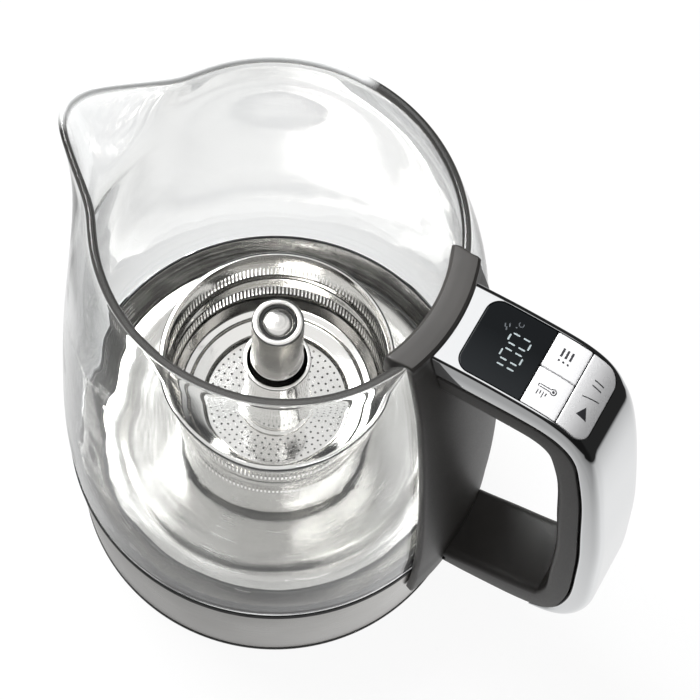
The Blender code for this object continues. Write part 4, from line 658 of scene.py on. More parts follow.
def make_heating_plate(edge, mirror):
    """The mirror floor: flat, then up a slope to a rounded lip and down to its edge."""
    top = SKIRT_TOP + PLATE_RISE
    lip_outer = edge - PLATE_EDGE_WIDTH
    lip_inner = lip_outer - PLATE_LIP_WIDTH
    flat = lip_inner - PLATE_SLOPE
    crest = top + PLATE_LIP_HEIGHT
    upper = [(POST_RADIUS + FIT, top), (flat, top), (lip_inner, crest), (lip_outer, crest), (edge, top + FIT)]
    lower = [(r, z - PLATE_WALL) for r, z in upper[::-1]]
    profile = eased(upper + lower, [0.0001, 0.0030, 0.0010, 0.0010, 0.0002, 0.0002, 0.0010, 0.0010, 0.0030, 0.0001])
    add_piece("mirror_floor", turned_mesh("mirror_floor", profile, 224), mirror, "jug", "polished_steel",
              "heating_plate")


def make_under_cover(low_radius, plastic):
    """Foot ring to stand on, a recessed floor, and the connector's socket, with a hole for its pin, in its middle."""
    foot = low_radius + FOOT_PROUD
    upstand = foot - SKIRT_WALL
    floor = FOOT_RECESS + COVER_THICKNESS
    hole = SOCKET_RADIUS + FIT
    cover = eased([(upstand, floor + 0.0030), (upstand, SKIRT_BOTTOM - FIT), (foot, SKIRT_BOTTOM - FIT), (foot, 0),
                   (foot - FOOT_WIDTH, 0), (foot - FOOT_WIDTH, FOOT_RECESS), (hole, FOOT_RECESS), (hole, floor),
                   (upstand - 0.0019, floor), (upstand - 0.0019, floor + 0.0030)], 0.0003)
    add_piece("under_cover", turned_mesh("under_cover", cover), plastic, "jug", "black_plastic", "base_cover")
    bore = SOCKET_RADIUS - SOCKET_WALL
    roof = SOCKET_HEIGHT - SOCKET_ROOF
    seat = floor + FIT
    flange = SOCKET_RADIUS + SOCKET_FLANGE
    pin_hole = 0.0023
    socket = eased([(pin_hole, SOCKET_HEIGHT), (SOCKET_RADIUS, SOCKET_HEIGHT),
                    (SOCKET_RADIUS, seat + SOCKET_FLANGE_HEIGHT), (flange, seat + SOCKET_FLANGE_HEIGHT),
                    (flange, seat), (SOCKET_RADIUS, seat), (SOCKET_RADIUS, SOCKET_LIFT), (bore, SOCKET_LIFT),
                    (bore, roof), (pin_hole, roof)], 0.0004)
    add_piece("plug_socket", turned_mesh("plug_socket", socket, 96), plastic, "jug", "black_plastic",
              "coupler_socket")


# Post and basket
def make_post(post_steel, mirror, rubber):
    """Satin post with a polished, rounded shoulder and a recess, the cap that sits in it with a dark ring painted as
    shade in the gap round it, and a polished band low down."""
    floor = POST_TOP - POST_RECESS_DEPTH
    foot = POST_RADIUS + POST_FOOT_WIDTH
    under = POST_FOOT - POST_FOOT_THICKNESS
    profile = [(0, floor), (POST_RECESS_RADIUS, floor), (POST_RECESS_RADIUS, POST_TOP), (POST_RADIUS, POST_TOP),
               (POST_RADIUS, POST_FOOT), (foot, POST_FOOT), (foot, under), (0, under)]
    profile = eased(profile, [0, 0.0002, 0.0006, POST_SHOULDER, 0.0002, 0.0002, 0.0002, 0], closed=False)
    add_piece("post_tube", turned_mesh("post_tube", profile, 96, closed=False), post_steel, "jug",
              "polished_steel", "guide_post")
    crown_edge = CAP_RADIUS * 0.80
    crown_low = POST_TOP - CAP_DROP
    share = np.linspace(0, 1, 7)
    crown = np.stack([crown_edge * share, crown_low + CAP_CROWN * (1 - share ** 2)], axis=1)
    side = eased([(crown_edge, crown_low), (CAP_RADIUS, crown_low - 0.0007), (CAP_RADIUS, floor + FIT),
                  (0, floor + FIT)], [0, 0.0007, 0.0002, 0], closed=False)
    cap = np.concatenate([crown, side[1:]])
    add_piece("post_button", turned_mesh("post_button", cap, 72, closed=False), post_steel, "jug", "polished_steel",
              "post_cap")
    # Painted shade: a black ring fills the gap between the cap and the recess wall.
    ring_top = POST_TOP - CAP_DROP - 0.0005
    ring = eased([(POST_RECESS_RADIUS - 0.0001, ring_top), (POST_RECESS_RADIUS - 0.0001, floor + 0.0001),
                  (CAP_RADIUS + 0.0001, floor + 0.0001), (CAP_RADIUS + 0.0001, ring_top)], 0.0002)
    add_piece("post_shade_ring", turned_mesh("post_shade_ring", ring, 72), rubber, "jug", "black_plastic")
    low = BASKET_TOP + 0.0006
    high = low + 0.0022
    proud = POST_RADIUS + 0.00035
    band = eased([(proud, high), (proud, low), (POST_RADIUS + 0.00002, low), (POST_RADIUS + 0.00002, high)],
                 [0.0003, 0.0003, 0.00005, 0.00005])
    add_piece("post_band", turned_mesh("post_band", band, 96), mirror, "jug", "polished_steel")


def basket_radius(z):
    """Outer radius of the tapered basket wall at a height."""
    up = (z - BASKET_BOTTOM) / (BASKET_TOP - BASKET_BOTTOM)
    return BASKET_BOTTOM_RADIUS + (BASKET_TOP_RADIUS - BASKET_BOTTOM_RADIUS) * up


def pierced_wall(outer, inner, angles, open_cells):
    """Two layers of rings on the same angles, joined along their first and last rings and round each open cell.
    outer and inner hold a radius and a height for each ring; open_cells says which cells are left out."""
    rows, columns = len(outer), len(angles)
    around = np.stack([np.cos(angles), np.sin(angles)], axis=-1)
    layers = []
    for rings in (outer, inner):
        flat = rings[:, :1, None] * around
        height = np.broadcast_to(rings[:, 1:, None], (rows, columns, 1))
        layers.append(np.concatenate([flat, height], axis=-1).reshape(-1, 3))
    cells = grid_faces(rows, columns).reshape(rows - 1, columns, 4)
    behind = rows * columns
    solid = ~open_cells
    faces = [cells[solid], cells[solid][:, ::-1] + behind]
    framed = np.zeros((rows + 1, columns), bool)
    framed[1:-1] = solid
    beyond = (np.roll(solid, 1, axis=1), framed[2:], np.roll(solid, -1, axis=1), framed[:-2])
    for side, neighbour in enumerate(beyond):
        edge = cells[solid & ~neighbour]
        start, end = edge[:, side], edge[:, (side + 1) % 4]
        faces.append(np.stack([end, start, start + behind, end + behind], axis=1))
    return np.concatenate(layers), np.concatenate(faces).tolist()


def make_basket_wall(mirror):
    """Rolled rim, tapered wall and two rows of fine upright slits, with a shallow swage between the rows."""
    turns = np.radians(np.linspace(75, -105, 9))
    bead_mid = (BASKET_RIM_RADIUS - BASKET_BEAD, BASKET_TOP - BASKET_BEAD)
    bead = np.stack([bead_mid[0] + BASKET_BEAD * np.cos(turns), bead_mid[1] + BASKET_BEAD * np.sin(turns)], axis=1)
    bands = []
    for depth in SLIT_DEPTHS:
        high = BASKET_TOP - depth + SLIT_HEIGHT / 2
        bands.append((high, high - SLIT_HEIGHT))
    (high_a, low_a), (high_b, low_b) = bands
    swage = np.linspace(low_a, high_b, 9)[1:-1]
    levels = np.concatenate([[BASKET_TOP - 0.0026, high_a + 0.0012, high_a, low_a], swage,
                             [high_b, low_b, low_b - 0.0015, 0.0700, 0.0640, BASKET_BOTTOM + 0.0012,
                              BASKET_BOTTOM + 0.0003]])
    bulge = 0.0005 * np.sin(math.pi * np.clip((low_a - levels) / (low_a - high_b), 0, 1)) ** 2
    wall = np.stack([basket_radius(levels) + bulge, levels], axis=1)
    wall[-1, 0] -= 0.0001
    outer = np.concatenate([bead, wall])
    inner_bead = np.stack([np.linspace(bead_mid[0] - 0.0004, basket_radius(BASKET_TOP) - BASKET_WALL, 9),
                           np.linspace(BASKET_TOP - 0.00002, BASKET_TOP - 0.0018, 9)], axis=1)
    inner = np.concatenate([inner_bead, wall - [BASKET_WALL, 0]])
    pitch = 2 * math.pi / SLITS_PER_ROW
    start = np.arange(SLITS_PER_ROW) * pitch
    angles = np.stack([start, start + pitch * SLIT_SHARE], axis=1).ravel()
    open_cells = np.zeros((len(outer) - 1, len(angles)), bool)
    for high, low in bands:
        row = int(np.argmin(np.abs(outer[:, 1] - high) + (np.arange(len(outer)) < len(bead))))
        open_cells[row, ::2] = True
    points, faces = pierced_wall(outer, inner, angles, open_cells)
    add_piece("basket_wall", mesh_of("basket_wall", points, faces), mirror, "basket", "polished_steel",
              "basket_shell")


def pierced_disc(inner_radius, outer_radius, centres, hole_radius, columns):
    """Triangles of a flat ring with a round hole at each centre, and the outlines that bound it: the outer and the
    inner circle and each hole. A triangle is kept if its middle lies on the ring and in no hole."""
    turn = 2 * math.pi * np.arange(columns) / columns
    circle = np.stack([np.cos(turn), np.sin(turn)], axis=1)
    sides = 2 * math.pi * (np.arange(SIEVE_HOLE_SIDES) + 0.5) / SIEVE_HOLE_SIDES
    hole = hole_radius * np.stack([np.cos(sides), np.sin(sides)], axis=1)
    holes = (centres[:, None] + hole).reshape(-1, 2)
    points = np.concatenate([outer_radius * circle, inner_radius * circle, holes])
    loops = [np.arange(columns), columns + np.arange(columns)]
    loops += list(2 * columns + np.arange(len(holes)).reshape(-1, SIEVE_HOLE_SIDES))
    edges = [(int(a), int(b)) for loop in loops for a, b in zip(loop, np.roll(loop, -1))]
    made = delaunay_2d_cdt([Vector(p) for p in points.tolist()], edges, [], 0, 1e-7)
    placed = np.array([tuple(p) for p in made[0]])
    triangles = np.array(made[2])
    middle = placed[triangles].mean(axis=1)
    radius = np.linalg.norm(middle, axis=1)
    in_hole = (np.linalg.norm(middle[:, None] - centres[None], axis=2) < hole_radius).any(axis=1)
    keep = (radius > inner_radius) & (radius < outer_radius) & ~in_hole
    return placed, triangles[keep], loops


def make_sieve(mirror):
    """Perforated floor with a step, a cone and an edge. The flat ring is two layers of the same triangles, the
    holes and the middle are walled, and the rest is turned from the ring's outer circle."""
    columns = TURN_COLUMNS
    top = BASKET_BOTTOM + SIEVE_RISE
    centres = []
    for ring, radius in enumerate(SIEVE_RING_RADII):
        count = int(round(2 * math.pi * radius / SIEVE_HOLE_PITCH))
        turn = 2 * math.pi * (np.arange(count) + 0.5 * (ring % 2)) / count + 0.37 * ring
        centres.append(radius * np.stack([np.cos(turn), np.sin(turn)], axis=1))
    centres = np.concatenate(centres)
    hub = SLEEVE_RADIUS + FIT
    placed, triangles, loops = pierced_disc(hub, SIEVE_FLAT_RADIUS, centres, SIEVE_HOLE_RADIUS, columns)
    upper = np.column_stack([placed, np.full(len(placed), top)])
    lower = upper - [0, 0, SIEVE_WALL]
    a, b, c = (placed[triangles[:, i]] for i in range(3))
    turn_way = (b[:, 0] - a[:, 0]) * (c[:, 1] - a[:, 1]) - (b[:, 1] - a[:, 1]) * (c[:, 0] - a[:, 0])
    triangles[turn_way < 0] = triangles[turn_way < 0][:, ::-1]
    below = len(upper)
    faces = triangles.tolist() + (triangles[:, ::-1] + below).tolist()
    for loop in loops[1:]:
        ahead = np.roll(loop, -1)
        faces += np.stack([loop, ahead, ahead + below, loop + below], axis=1).tolist()
    edge_z = top + SIEVE_EDGE_HEIGHT
    edge = basket_radius(edge_z) - BASKET_WALL - FIT
    rise = eased([(SIEVE_FLAT_RADIUS, top)] + [(r, top + z) for r, z in SIEVE_TERRACES] + [(edge, edge_z)],
                 0.0006, closed=False)
    rings = np.concatenate([rise[1:], rise[:0:-1] - [0, SIEVE_WALL]])
    turn = 2 * math.pi * np.arange(columns) / columns
    turned = np.stack([rings[:, :1] * np.cos(turn), rings[:, :1] * np.sin(turn),
                       np.broadcast_to(rings[:, 1:], (len(rings), columns))], axis=-1).reshape(-1, 3)
    beyond = 2 * below + np.arange(len(rings) * columns).reshape(len(rings), columns)
    index = np.concatenate([loops[0][None], beyond, loops[0][None] + below])
    beside = np.roll(index, -1, axis=1)
    faces += np.stack([index[:-1], index[1:], beside[1:], beside[:-1]], axis=-1).reshape(-1, 4).tolist()
    points = np.concatenate([upper, lower, turned])
    add_piece("sieve_floor", mesh_of("sieve_floor", points, faces), mirror, "basket", "polished_steel",
              "basket_floor")


def make_sleeve(mirror):
    """Tube round the post, with a collar on the sieve and a foot under the hub."""
    bore = SLEEVE_RADIUS - SLEEVE_WALL
    collar_low = BASKET_BOTTOM + SIEVE_RISE + FIT
    collar_high = collar_low + SLEEVE_COLLAR_HEIGHT
    foot_high = BASKET_BOTTOM + SIEVE_RISE - SIEVE_WALL - HUB_MAGNET_HEIGHT - 2 * FIT
    foot_low = foot_high - SLEEVE_FOOT_HEIGHT
    roll = SLEEVE_RADIUS + SLEEVE_ROLL
    roll_low = BASKET_TOP - 2 * SLEEVE_ROLL
    profile = eased([(roll, BASKET_TOP), (roll, roll_low), (SLEEVE_RADIUS, roll_low), (SLEEVE_RADIUS, collar_high),
                     (SLEEVE_RADIUS + SLEEVE_COLLAR, collar_high), (SLEEVE_RADIUS + SLEEVE_COLLAR, collar_low),
                     (SLEEVE_RADIUS, collar_low), (SLEEVE_RADIUS, foot_high),
                     (SLEEVE_RADIUS + SLEEVE_FOOT, foot_high), (SLEEVE_RADIUS + SLEEVE_FOOT, foot_low),
                     (bore, foot_low), (bore, BASKET_TOP)], [0.0007, 0.0005] + [0.0003] * 10)
    add_piece("basket_tube", turned_mesh("basket_tube", profile, 96), mirror, "basket", "polished_steel",
              "basket_sleeve")


# Handle
def strip_line():
    """Side view of the strip's inner face: up the skirt and the glass, half a circle over the rim, down inside."""
    bead_z = RIM_HEIGHT - RIM_TILT_SHARE * RIM_RADIUS - BEAD_RADIUS
    low_z = np.linspace(STRIP_BOTTOM, SKIRT_TOP, 14)
    up = (low_z - SKIRT_BOTTOM) / (SKIRT_TOP - SKIRT_BOTTOM)
    low_r = BODY_RADIUS - SKIRT_TAPER * (1 - up) + STRIP_GAP
    low_r += (SEAL_RADIUS - BODY_RADIUS) * smooth_step((up - 0.6) / 0.4)
    share = np.linspace(0.012, 1, 110)
    widest = SEAL_RADIUS + 2 * STRIP_GAP
    wall_r = np.minimum(body_radius(share) + STRIP_GAP, widest)
    wall_z = GLASS_BOTTOM + share * (bead_z - GLASS_BOTTOM)
    around = BEAD_RADIUS + STRIP_GAP
    over = np.linspace(0, math.pi, 15)[1:]
    middle = RIM_RADIUS - BEAD_RADIUS
    inner_z = np.linspace(bead_z, bead_z - COLLAR_INNER_DEPTH, 7)[1:]
    radius = np.concatenate([low_r, wall_r, middle + around * np.cos(over), np.full(6, middle - around)])
    height = np.concatenate([low_z, wall_z, bead_z + around * np.sin(over), inner_z])
    return np.stack([radius, height], axis=1)


def line_normals(line):
    """Unit vectors to the right of a side view's line."""
    run = np.gradient(line, axis=0)
    run /= np.linalg.norm(run, axis=1)[:, None]
    return np.stack([run[:, 1], -run[:, 0]], axis=1)


def make_strip(plastic):
    """The strip: a flat section with eased edges, carried up the side view's line and bent round the jug. Over the
    rim its outer side is drawn out to a nearly square top, by the eighth powers of sine and cosine, it grows wider
    towards its inner side, and both ends close in over a quarter circle."""
    line = strip_line()
    outward = line_normals(line)
    square = (np.abs(outward[:, 0]) ** COLLAR_POWER + np.abs(outward[:, 1]) ** COLLAR_POWER) ** (-1 / COLLAR_POWER)
    rising = np.argmax(line[:, 1] > RIM_HEIGHT - RIM_TILT_SHARE * RIM_RADIUS - 2 * BEAD_RADIUS)
    over = np.arange(len(line)) >= rising
    reach = BEAD_RADIUS + STRIP_GAP + STRIP_THICKNESS
    thick = np.where(over, STRIP_THICKNESS + reach * (square - 1), STRIP_THICKNESS)[:, None]
    ease = np.radians(np.linspace(0, 90, EDGE_STEPS + 2))
    edge, small = STRIP_EDGE, 0.3 * STRIP_EDGE
    cut_low = small * (1 - np.sin(ease))
    depth_low = small * (1 - np.cos(ease))
    cut_high = edge * (1 - np.cos(ease))
    depth_high = edge * (1 - np.sin(ease))
    rows = np.ones((len(line), 1))
    across = np.linspace(-1, 1, 33)[None, :] * rows
    progress = smooth_step(np.where(over, (1 - outward[:, 0]) / 2, 0))[:, None]
    half = np.radians(STRIP_HALF_ANGLE + COLLAR_SPREAD * progress) * line[:, :1]
    arcs = [across * (half - small), half - cut_low, half - cut_high, -across * (half - edge), cut_high[::-1] - half,
            cut_low[::-1] - half]
    depths = [0 * across, depth_low * rows, thick - depth_high, thick * np.ones((1, 33)),
              thick - depth_high[::-1], depth_low[::-1] * rows]
    arc = np.concatenate([part[:, 1:] for part in arcs], axis=1)
    depth = np.concatenate([part[:, 1:] for part in depths], axis=1)
    along = np.concatenate([[0], np.cumsum(np.linalg.norm(np.diff(line, axis=0), axis=1))])
    close = np.clip(edge - np.minimum(along, along[-1] - along), 0, None)[:, None]
    inset = edge - np.sqrt(np.clip(edge ** 2 - close ** 2, 0, None))
    depth = thick / 2 + (depth - thick / 2) * (1 - 0.9 * inset / (thick / 2))
    turn = arc * (1 - inset / half) / line[:, :1]
    radius = line[:, :1] + outward[:, :1] * depth
    height = line[:, 1:] + outward[:, 1:] * depth
    sections = np.stack([radius * np.cos(turn), radius * np.sin(turn), height], axis=-1)
    add_piece("handle_strip", carried_mesh("handle_strip", sections), plastic, "jug", "dark_grey_plastic",
              "handle_spine")


def seat_radius(height):
    """Radius of the strip's outer face, with its fit, at a height: where the arms end."""
    line = strip_line()
    face = line + line_normals(line) * (STRIP_THICKNESS + FIT)
    rising = face[: len(face) - 20]
    return np.maximum(np.interp(height, rising[:, 1], rising[:, 0]), COLLAR_RADIUS)


def arm_sections(outer, inner, outer_edge, inner_edge, far_edge=None, half=HANDLE_HALF, face_steps=17):
    """Sections between two curves of the side view: flat flanks, and at each curve a face whose two edges are
    quarter circles of the given radii, on the outer curve with another radius on the far side if one is given."""
    rows = len(outer)
    depth_way = inner - outer
    length = np.linalg.norm(depth_way, axis=1)[:, None]
    way = depth_way / length
    far_edge = outer_edge if far_edge is None else far_edge
    outer_edge = np.minimum(np.broadcast_to(outer_edge, rows)[:, None], 0.45 * length)
    far_edge = np.minimum(np.broadcast_to(far_edge, rows)[:, None], 0.45 * length)
    inner_edge = np.minimum(np.broadcast_to(inner_edge, rows)[:, None], 0.45 * length)
    ease = np.radians(np.linspace(0, 90, 7))[None, :]
    face = np.linspace(-1, 1, face_steps)[None, :]
    parts_y = [face * (half - np.where(face > 0, far_edge, outer_edge)), half - far_edge * (1 - np.sin(ease)),
               half - inner_edge * (1 - np.cos(ease)), -face * (half - inner_edge),
               -half + inner_edge * (1 - np.sin(ease)), -half + outer_edge * (1 - np.cos(ease))]
    parts_depth = [np.zeros((rows, face_steps)), far_edge * (1 - np.cos(ease)),
                   length - inner_edge * (1 - np.sin(ease)), length + np.zeros((rows, face_steps)),
                   length - inner_edge * (1 - np.cos(ease)), outer_edge * (1 - np.sin(ease))]
    keep_y = [parts_y[0], parts_y[1][:, 1:], parts_y[2][:, :-1], parts_y[3], parts_y[4][:, 1:], parts_y[5][:, :-1]]
    keep_depth = [parts_depth[0], parts_depth[1][:, 1:], parts_depth[2][:, :-1], parts_depth[3],
                  parts_depth[4][:, 1:], parts_depth[5][:, :-1]]
    y = np.concatenate(keep_y, axis=1)
    depth = np.concatenate(keep_depth, axis=1)
    x = outer[:, :1] + way[:, :1] * depth
    z = outer[:, 1:] + way[:, 1:] * depth
    return np.stack([x, y, z], axis=-1)


def seated(sections, row, reach=0.010):
    """The sections with the row's end moved along X onto the strip's face, and the shift fading over a reach."""
    end = sections[row]
    shift = np.sqrt(seat_radius(end[:, 2]) ** 2 - end[:, 1] ** 2) - end[:, 0]
    away = np.linalg.norm(sections[:, :, ::2] - end[:, ::2], axis=2)
    sections[:, :, 0] += shift * (1 - smooth_step(away / reach))
    return sections


def chrome_line():
    return in_handle(CHROME_OUTER_SHARES, 2 * ARM_STEPS)


def top_height(x):
    """Height of the chrome's upper face at a distance from the jug's axis."""
    line = chrome_line()
    upper = line[: int(np.argmax(line[:, 1] < (HANDLE_TOP + HANDLE_BOTTOM) / 2))]
    return np.interp(x, upper[:, 0], upper[:, 1])


def make_chrome(chrome, plastic):
    """The chrome: crisp along the panel, with rounder edges down the back of the handle, and the panel's recess,
    whose cut faces take black plastic as painted shade in the gaps round the panel.
    """
    outer = chrome_line()
    inner = in_handle(CHROME_INNER_SHARES, 2 * ARM_STEPS)
    share = np.linspace(0, 1, len(outer))
    later = smooth_step((share - 0.15) / 0.14)
    near_edge = CHROME_NEAR_EDGE + (CHROME_BACK_EDGE - CHROME_NEAR_EDGE) * later
    far_edge = CHROME_FAR_EDGE + (CHROME_BACK_EDGE - CHROME_FAR_EDGE) * later
    sections = seated(arm_sections(outer, inner, near_edge, CHROME_SEAM_EDGE, far_edge), 0)
    mesh = carried_mesh("handle_chrome", sections)
    piece = add_piece("handle_chrome", mesh, chrome, "jug", "chrome", "chrome_shell")
    shade_cutter = bpy.data.objects.new("panel_cutter", panel_cutter())
    bpy.context.scene.collection.objects.link(shade_cutter)
    # Painted shade: the recess's cut faces take this black plastic.
    shade_cutter.data.materials.append(plastic)
    cut = piece.modifiers.new("recess", "BOOLEAN")
    cut.operation = "DIFFERENCE"
    cut.solver = "EXACT"
    cut.material_mode = "TRANSFER"
    cut.object = shade_cutter
    apply_modifiers(piece)
    bpy.data.objects.remove(shade_cutter)
    piece.data.set_sharp_from_angle(angle=math.radians(SHARP_ANGLE))


def apply_modifiers(piece):
    """Puts a piece's modified mesh in place of its plain one."""
    bpy.context.view_layer.update()
    made = bpy.data.meshes.new_from_object(piece.evaluated_get(bpy.context.evaluated_depsgraph_get()))
    piece.modifiers.clear()
    piece.data = made


def make_grip(plastic):
    """The grip: along the chrome's seam and back under the lower arm, round the finger gap on its other side."""
    seam = in_handle(CHROME_INNER_SHARES)
    run = np.gradient(seam, axis=0)
    run /= np.linalg.norm(run, axis=1)[:, None]
    seam = seam + FIT * np.stack([run[:, 1], -run[:, 0]], axis=1)
    under = in_handle(LOWER_ARM_UNDER_SHARES, ARM_STEPS // 2)
    outer = np.concatenate([seam, under])
    inner = np.concatenate([in_handle(FINGER_SHARES), in_handle(LOWER_ARM_TOP_SHARES, ARM_STEPS // 2 + 1)[1:]])
    on_seam = np.arange(len(outer)) < len(seam)
    outer_edge = np.where(on_seam, 0.0003, 0.0028)
    sections = arm_sections(outer, inner, outer_edge, 0.0036)
    sections = seated(seated(sections, 0), len(outer) - 1)
    add_piece("handle_grip", carried_mesh("handle_grip", sections), plastic, "jug", "dark_grey_plastic",
              "grip_inner")


# Panel
def rounded_outline(x0, x1, y0, y1, radii, straight=10):
    """A rectangle's outline, anticlockwise from its low corner, with quarter circles at its corners and points
    along its sides."""
    corners = ((x0, y0, 1, 1, 180), (x1, y0, -1, 1, 270), (x1, y1, -1, -1, 0), (x0, y1, 1, -1, 90))
    arcs = []
    for (x, y, inward_x, inward_y, start), radius in zip(corners, radii):
        turn = np.radians(start + np.linspace(0, 90, 9))
        arcs.append(np.stack([x + inward_x * radius + radius * np.cos(turn),
                              y + inward_y * radius + radius * np.sin(turn)], axis=1))
    outline = []
    for arc, after in zip(arcs, arcs[1:] + arcs[:1]):
        share = np.linspace(0, 1, straight + 1)[1:-1, None]
        outline += [arc, arc[-1] + (after[0] - arc[-1]) * share]
    return np.concatenate(outline)


def moved_in(outline, distance):
    """A closed anticlockwise outline moved to its inner side."""
    run = np.roll(outline, -1, axis=0) - np.roll(outline, 1, axis=0)
    run /= np.linalg.norm(run, axis=1)[:, None]
    return outline + distance * np.stack([-run[:, 1], run[:, 0]], axis=1)


def slab_mesh(name, outline, rise, depth, edge):
    """A plate that follows the chrome's upper face. Rings shrink from the outline to its middle, above at the face
    plus a rise and below at a depth under it, and the upper edge is a quarter circle."""
    middle = (outline.min(axis=0) + outline.max(axis=0)) / 2
    rings = []
    ease = np.radians(np.linspace(90, 0, 5))
    inmost = moved_in(outline, edge)
    for share in (0.15, 0.3, 0.45, 0.6, 0.75, 0.9):
        rings.append((middle + (inmost - middle) * share, rise))
    for turn in ease:
        rings.append((moved_in(outline, edge * (1 - math.cos(turn))), rise - edge * (1 - math.sin(turn))))
    rings.append((outline, -depth))
    for share in (0.8, 0.4):
        rings.append((middle + (outline - middle) * share, -depth))
    count = len(outline)
    plan = np.stack([ring for ring, _ in rings])
    level = np.array([z for _, z in rings])[:, None]
    height = top_height(plan[:, :, 0]) + level
    points = np.concatenate([plan, height[:, :, None]], axis=2).reshape(-1, 3)
    faces = grid_faces(len(rings), count).tolist()
    j = np.arange(count)
    beside = (j + 1) % count
    last = (len(rings) - 1) * count
    faces += np.stack([np.full(count, len(points)), j, beside], axis=1).tolist()
    faces += np.stack([np.full(count, len(points) + 1), last + beside, last + j], axis=1).tolist()
    crown = top_height(middle[0])
    points = np.concatenate([points, [(*middle, crown + rise), (*middle, crown - depth)]])
    return mesh_of(name, points, faces)


def extent(node):
    """A node's plan about the jug's axis."""
    low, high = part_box(node)
    return low.x - AXIS_X, high.x - AXIS_X, low.y, high.y


def key_extent(node):
    """A key's plan, a little narrower on the far side, where the chrome's edge is round."""
    x0, x1, y0, y1 = extent(node)
    return x0, x1, y0, min(y1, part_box("display_window")[1].y - PANEL_FAR_MARGIN)


def window_extent():
    x0, x1, y0, y1 = key_extent("display_window")
    return x0 + WINDOW_SHIFT, x1, y0, y1


def panel_cutter():
    """The recess: the whole panel's outline, wider by the gap."""
    x0, x1, y0, y1 = window_extent()
    far = extent("start_button")[1]
    gap = PANEL_GAP
    outline = rounded_outline(x0 - gap, far + gap, y0 - gap, y1 + gap, [PANEL_CORNER + gap] * 4, 16)
    return slab_mesh("panel_cutter", outline, 0.0040, RECESS_DEPTH, 0.0002)


def make_panel(window, key, ink, light, faint):
    """Display window and three keys, with their marks."""
    big, small = PANEL_CORNER, KEY_CORNER
    key_corners = [small] * 4
    plates = (("window_plate", "display_window", "jug", window, (big, small, small, big)),
              ("strength_plate", "strength_button", "strength_key", key, key_corners),
              ("temperature_plate", "temperature_button", "temperature_key", key, key_corners),
              ("start_plate", "start_button", "start_key", key, (small, big, big, small)))
    for name, node, body, finish, radii in plates:
        plan = window_extent() if body == "jug" else key_extent(node)
        mesh = slab_mesh(name, rounded_outline(*plan, radii), 0, PANEL_THICKNESS, KEY_EDGE)
        add_piece(name, mesh, finish, body, "black_window" if body == "jug" else "silver_key", node)
    add_marks("display_digits", digit_bars(), light, "jug")
    add_marks("display_signs", unit_marks(), faint, "jug")
    add_marks("strength_mark", strength_bars(), ink, "strength_key")
    add_marks("temperature_mark", thermometer_bars(), ink, "temperature_key")
    add_marks("start_mark", start_bars(), ink, "start_key")


def add_marks(name, outlines, finish, body):
    """Thin printed shapes on the panel, all in one mesh. An outline's first axis runs to the reader's right, which
    is +Y, and its second up, which is towards the jug. Lines across the panel divide the shapes, so that their
    faces follow its curve, and each edge with a face on one side only is walled."""
    outlines = [np.array(outline, float) for outline in outlines]
    points = np.concatenate(outlines)
    starts = np.cumsum([0] + [len(outline) for outline in outlines])
    loops = [list(range(a, b)) for a, b in zip(starts[:-1], starts[1:])]
    low, high = points.min(axis=0) - MARK_SLICE, points.max(axis=0) + MARK_SLICE
    levels = np.arange(low[1] + MARK_SLICE * 0.37, high[1], MARK_SLICE)
    ends = np.stack([np.stack([np.full(len(levels), x), levels], axis=1) for x in (low[0], high[0])], axis=1)
    slices = len(points) + np.arange(2 * len(levels)).reshape(-1, 2)
    everything = np.concatenate([points, ends.reshape(-1, 2)])
    made = delaunay_2d_cdt([Vector(p) for p in everything.tolist()], slices.tolist(), loops, 0, 1e-8)
    plan = np.array([tuple(p) for p in made[0]])
    triangles = np.array([face for face, inside in zip(made[2], made[5]) if inside])
    a, b, c = (plan[triangles[:, i]] for i in range(3))
    turn_way = (b[:, 0] - a[:, 0]) * (c[:, 1] - a[:, 1]) - (b[:, 1] - a[:, 1]) * (c[:, 0] - a[:, 0])
    triangles[turn_way < 0] = triangles[turn_way < 0][:, ::-1]
    used, triangles = np.unique(triangles, return_inverse=True)
    triangles = triangles.reshape(-1, 3)
    plan = plan[used]
    x, y = -plan[:, 1], plan[:, 0]
    face = top_height(x)
    upper = np.stack([x, y, face + MARK_HEIGHT], axis=1)
    lower = np.stack([x, y, face - MARK_SUNK], axis=1)
    below = len(plan)
    edges = np.concatenate([triangles[:, [0, 1]], triangles[:, [1, 2]], triangles[:, [2, 0]]])
    _, first, count = np.unique(np.sort(edges, axis=1), axis=0, return_index=True, return_counts=True)
    rim = edges[first[count == 1]]
    walls = np.stack([rim[:, 1], rim[:, 0], rim[:, 0] + below, rim[:, 1] + below], axis=1)
    faces = triangles.tolist() + (triangles[:, ::-1] + below).tolist() + walls.tolist()
    mesh = mesh_of(name, np.concatenate([upper, lower]), faces)
    add_piece(name, mesh, finish, body, "black_window" if body == "jug" else "silver_key")


def bar(start, end, width, taper=0.0):
    """A straight bar between two places, pointed at both ends by a taper."""
    start, end = np.array(start, float), np.array(end, float)
    run = (end - start) / np.linalg.norm(end - start)
    side = np.array([-run[1], run[0]]) * width / 2
    if not taper:
        return [start - side, end - side, end + side, start + side]
    tip = run * taper
    return [start, start + tip - side, end - tip - side, end, end - tip + side, start + tip + side]


def arc(centre, radius, width, start, end, count=16):
    """A band along a circle's arc."""
    turn = np.radians(np.linspace(start, end, count + 1))
    way = np.stack([np.cos(turn), np.sin(turn)], axis=1)
    outer = np.array(centre) + (radius + width / 2) * way
    inner = np.array(centre) + (radius - width / 2) * way
    return np.concatenate([outer, inner[::-1]])


def dot(centre, radius, sides=12):
    turn = 2 * math.pi * np.arange(sides) / sides
    return np.array(centre) + radius * np.stack([np.cos(turn), np.sin(turn)], axis=1)


DIGIT_HEIGHT = 0.0067
DIGIT_WIDTH = 0.0034
DIGIT_PITCH = 0.0054
STROKE_LENGTH = 0.0023
STROKE_WIDTH = 0.00050
FIRST_DIGIT = -0.0095
DIGIT_FROM_TOP = 0.0134


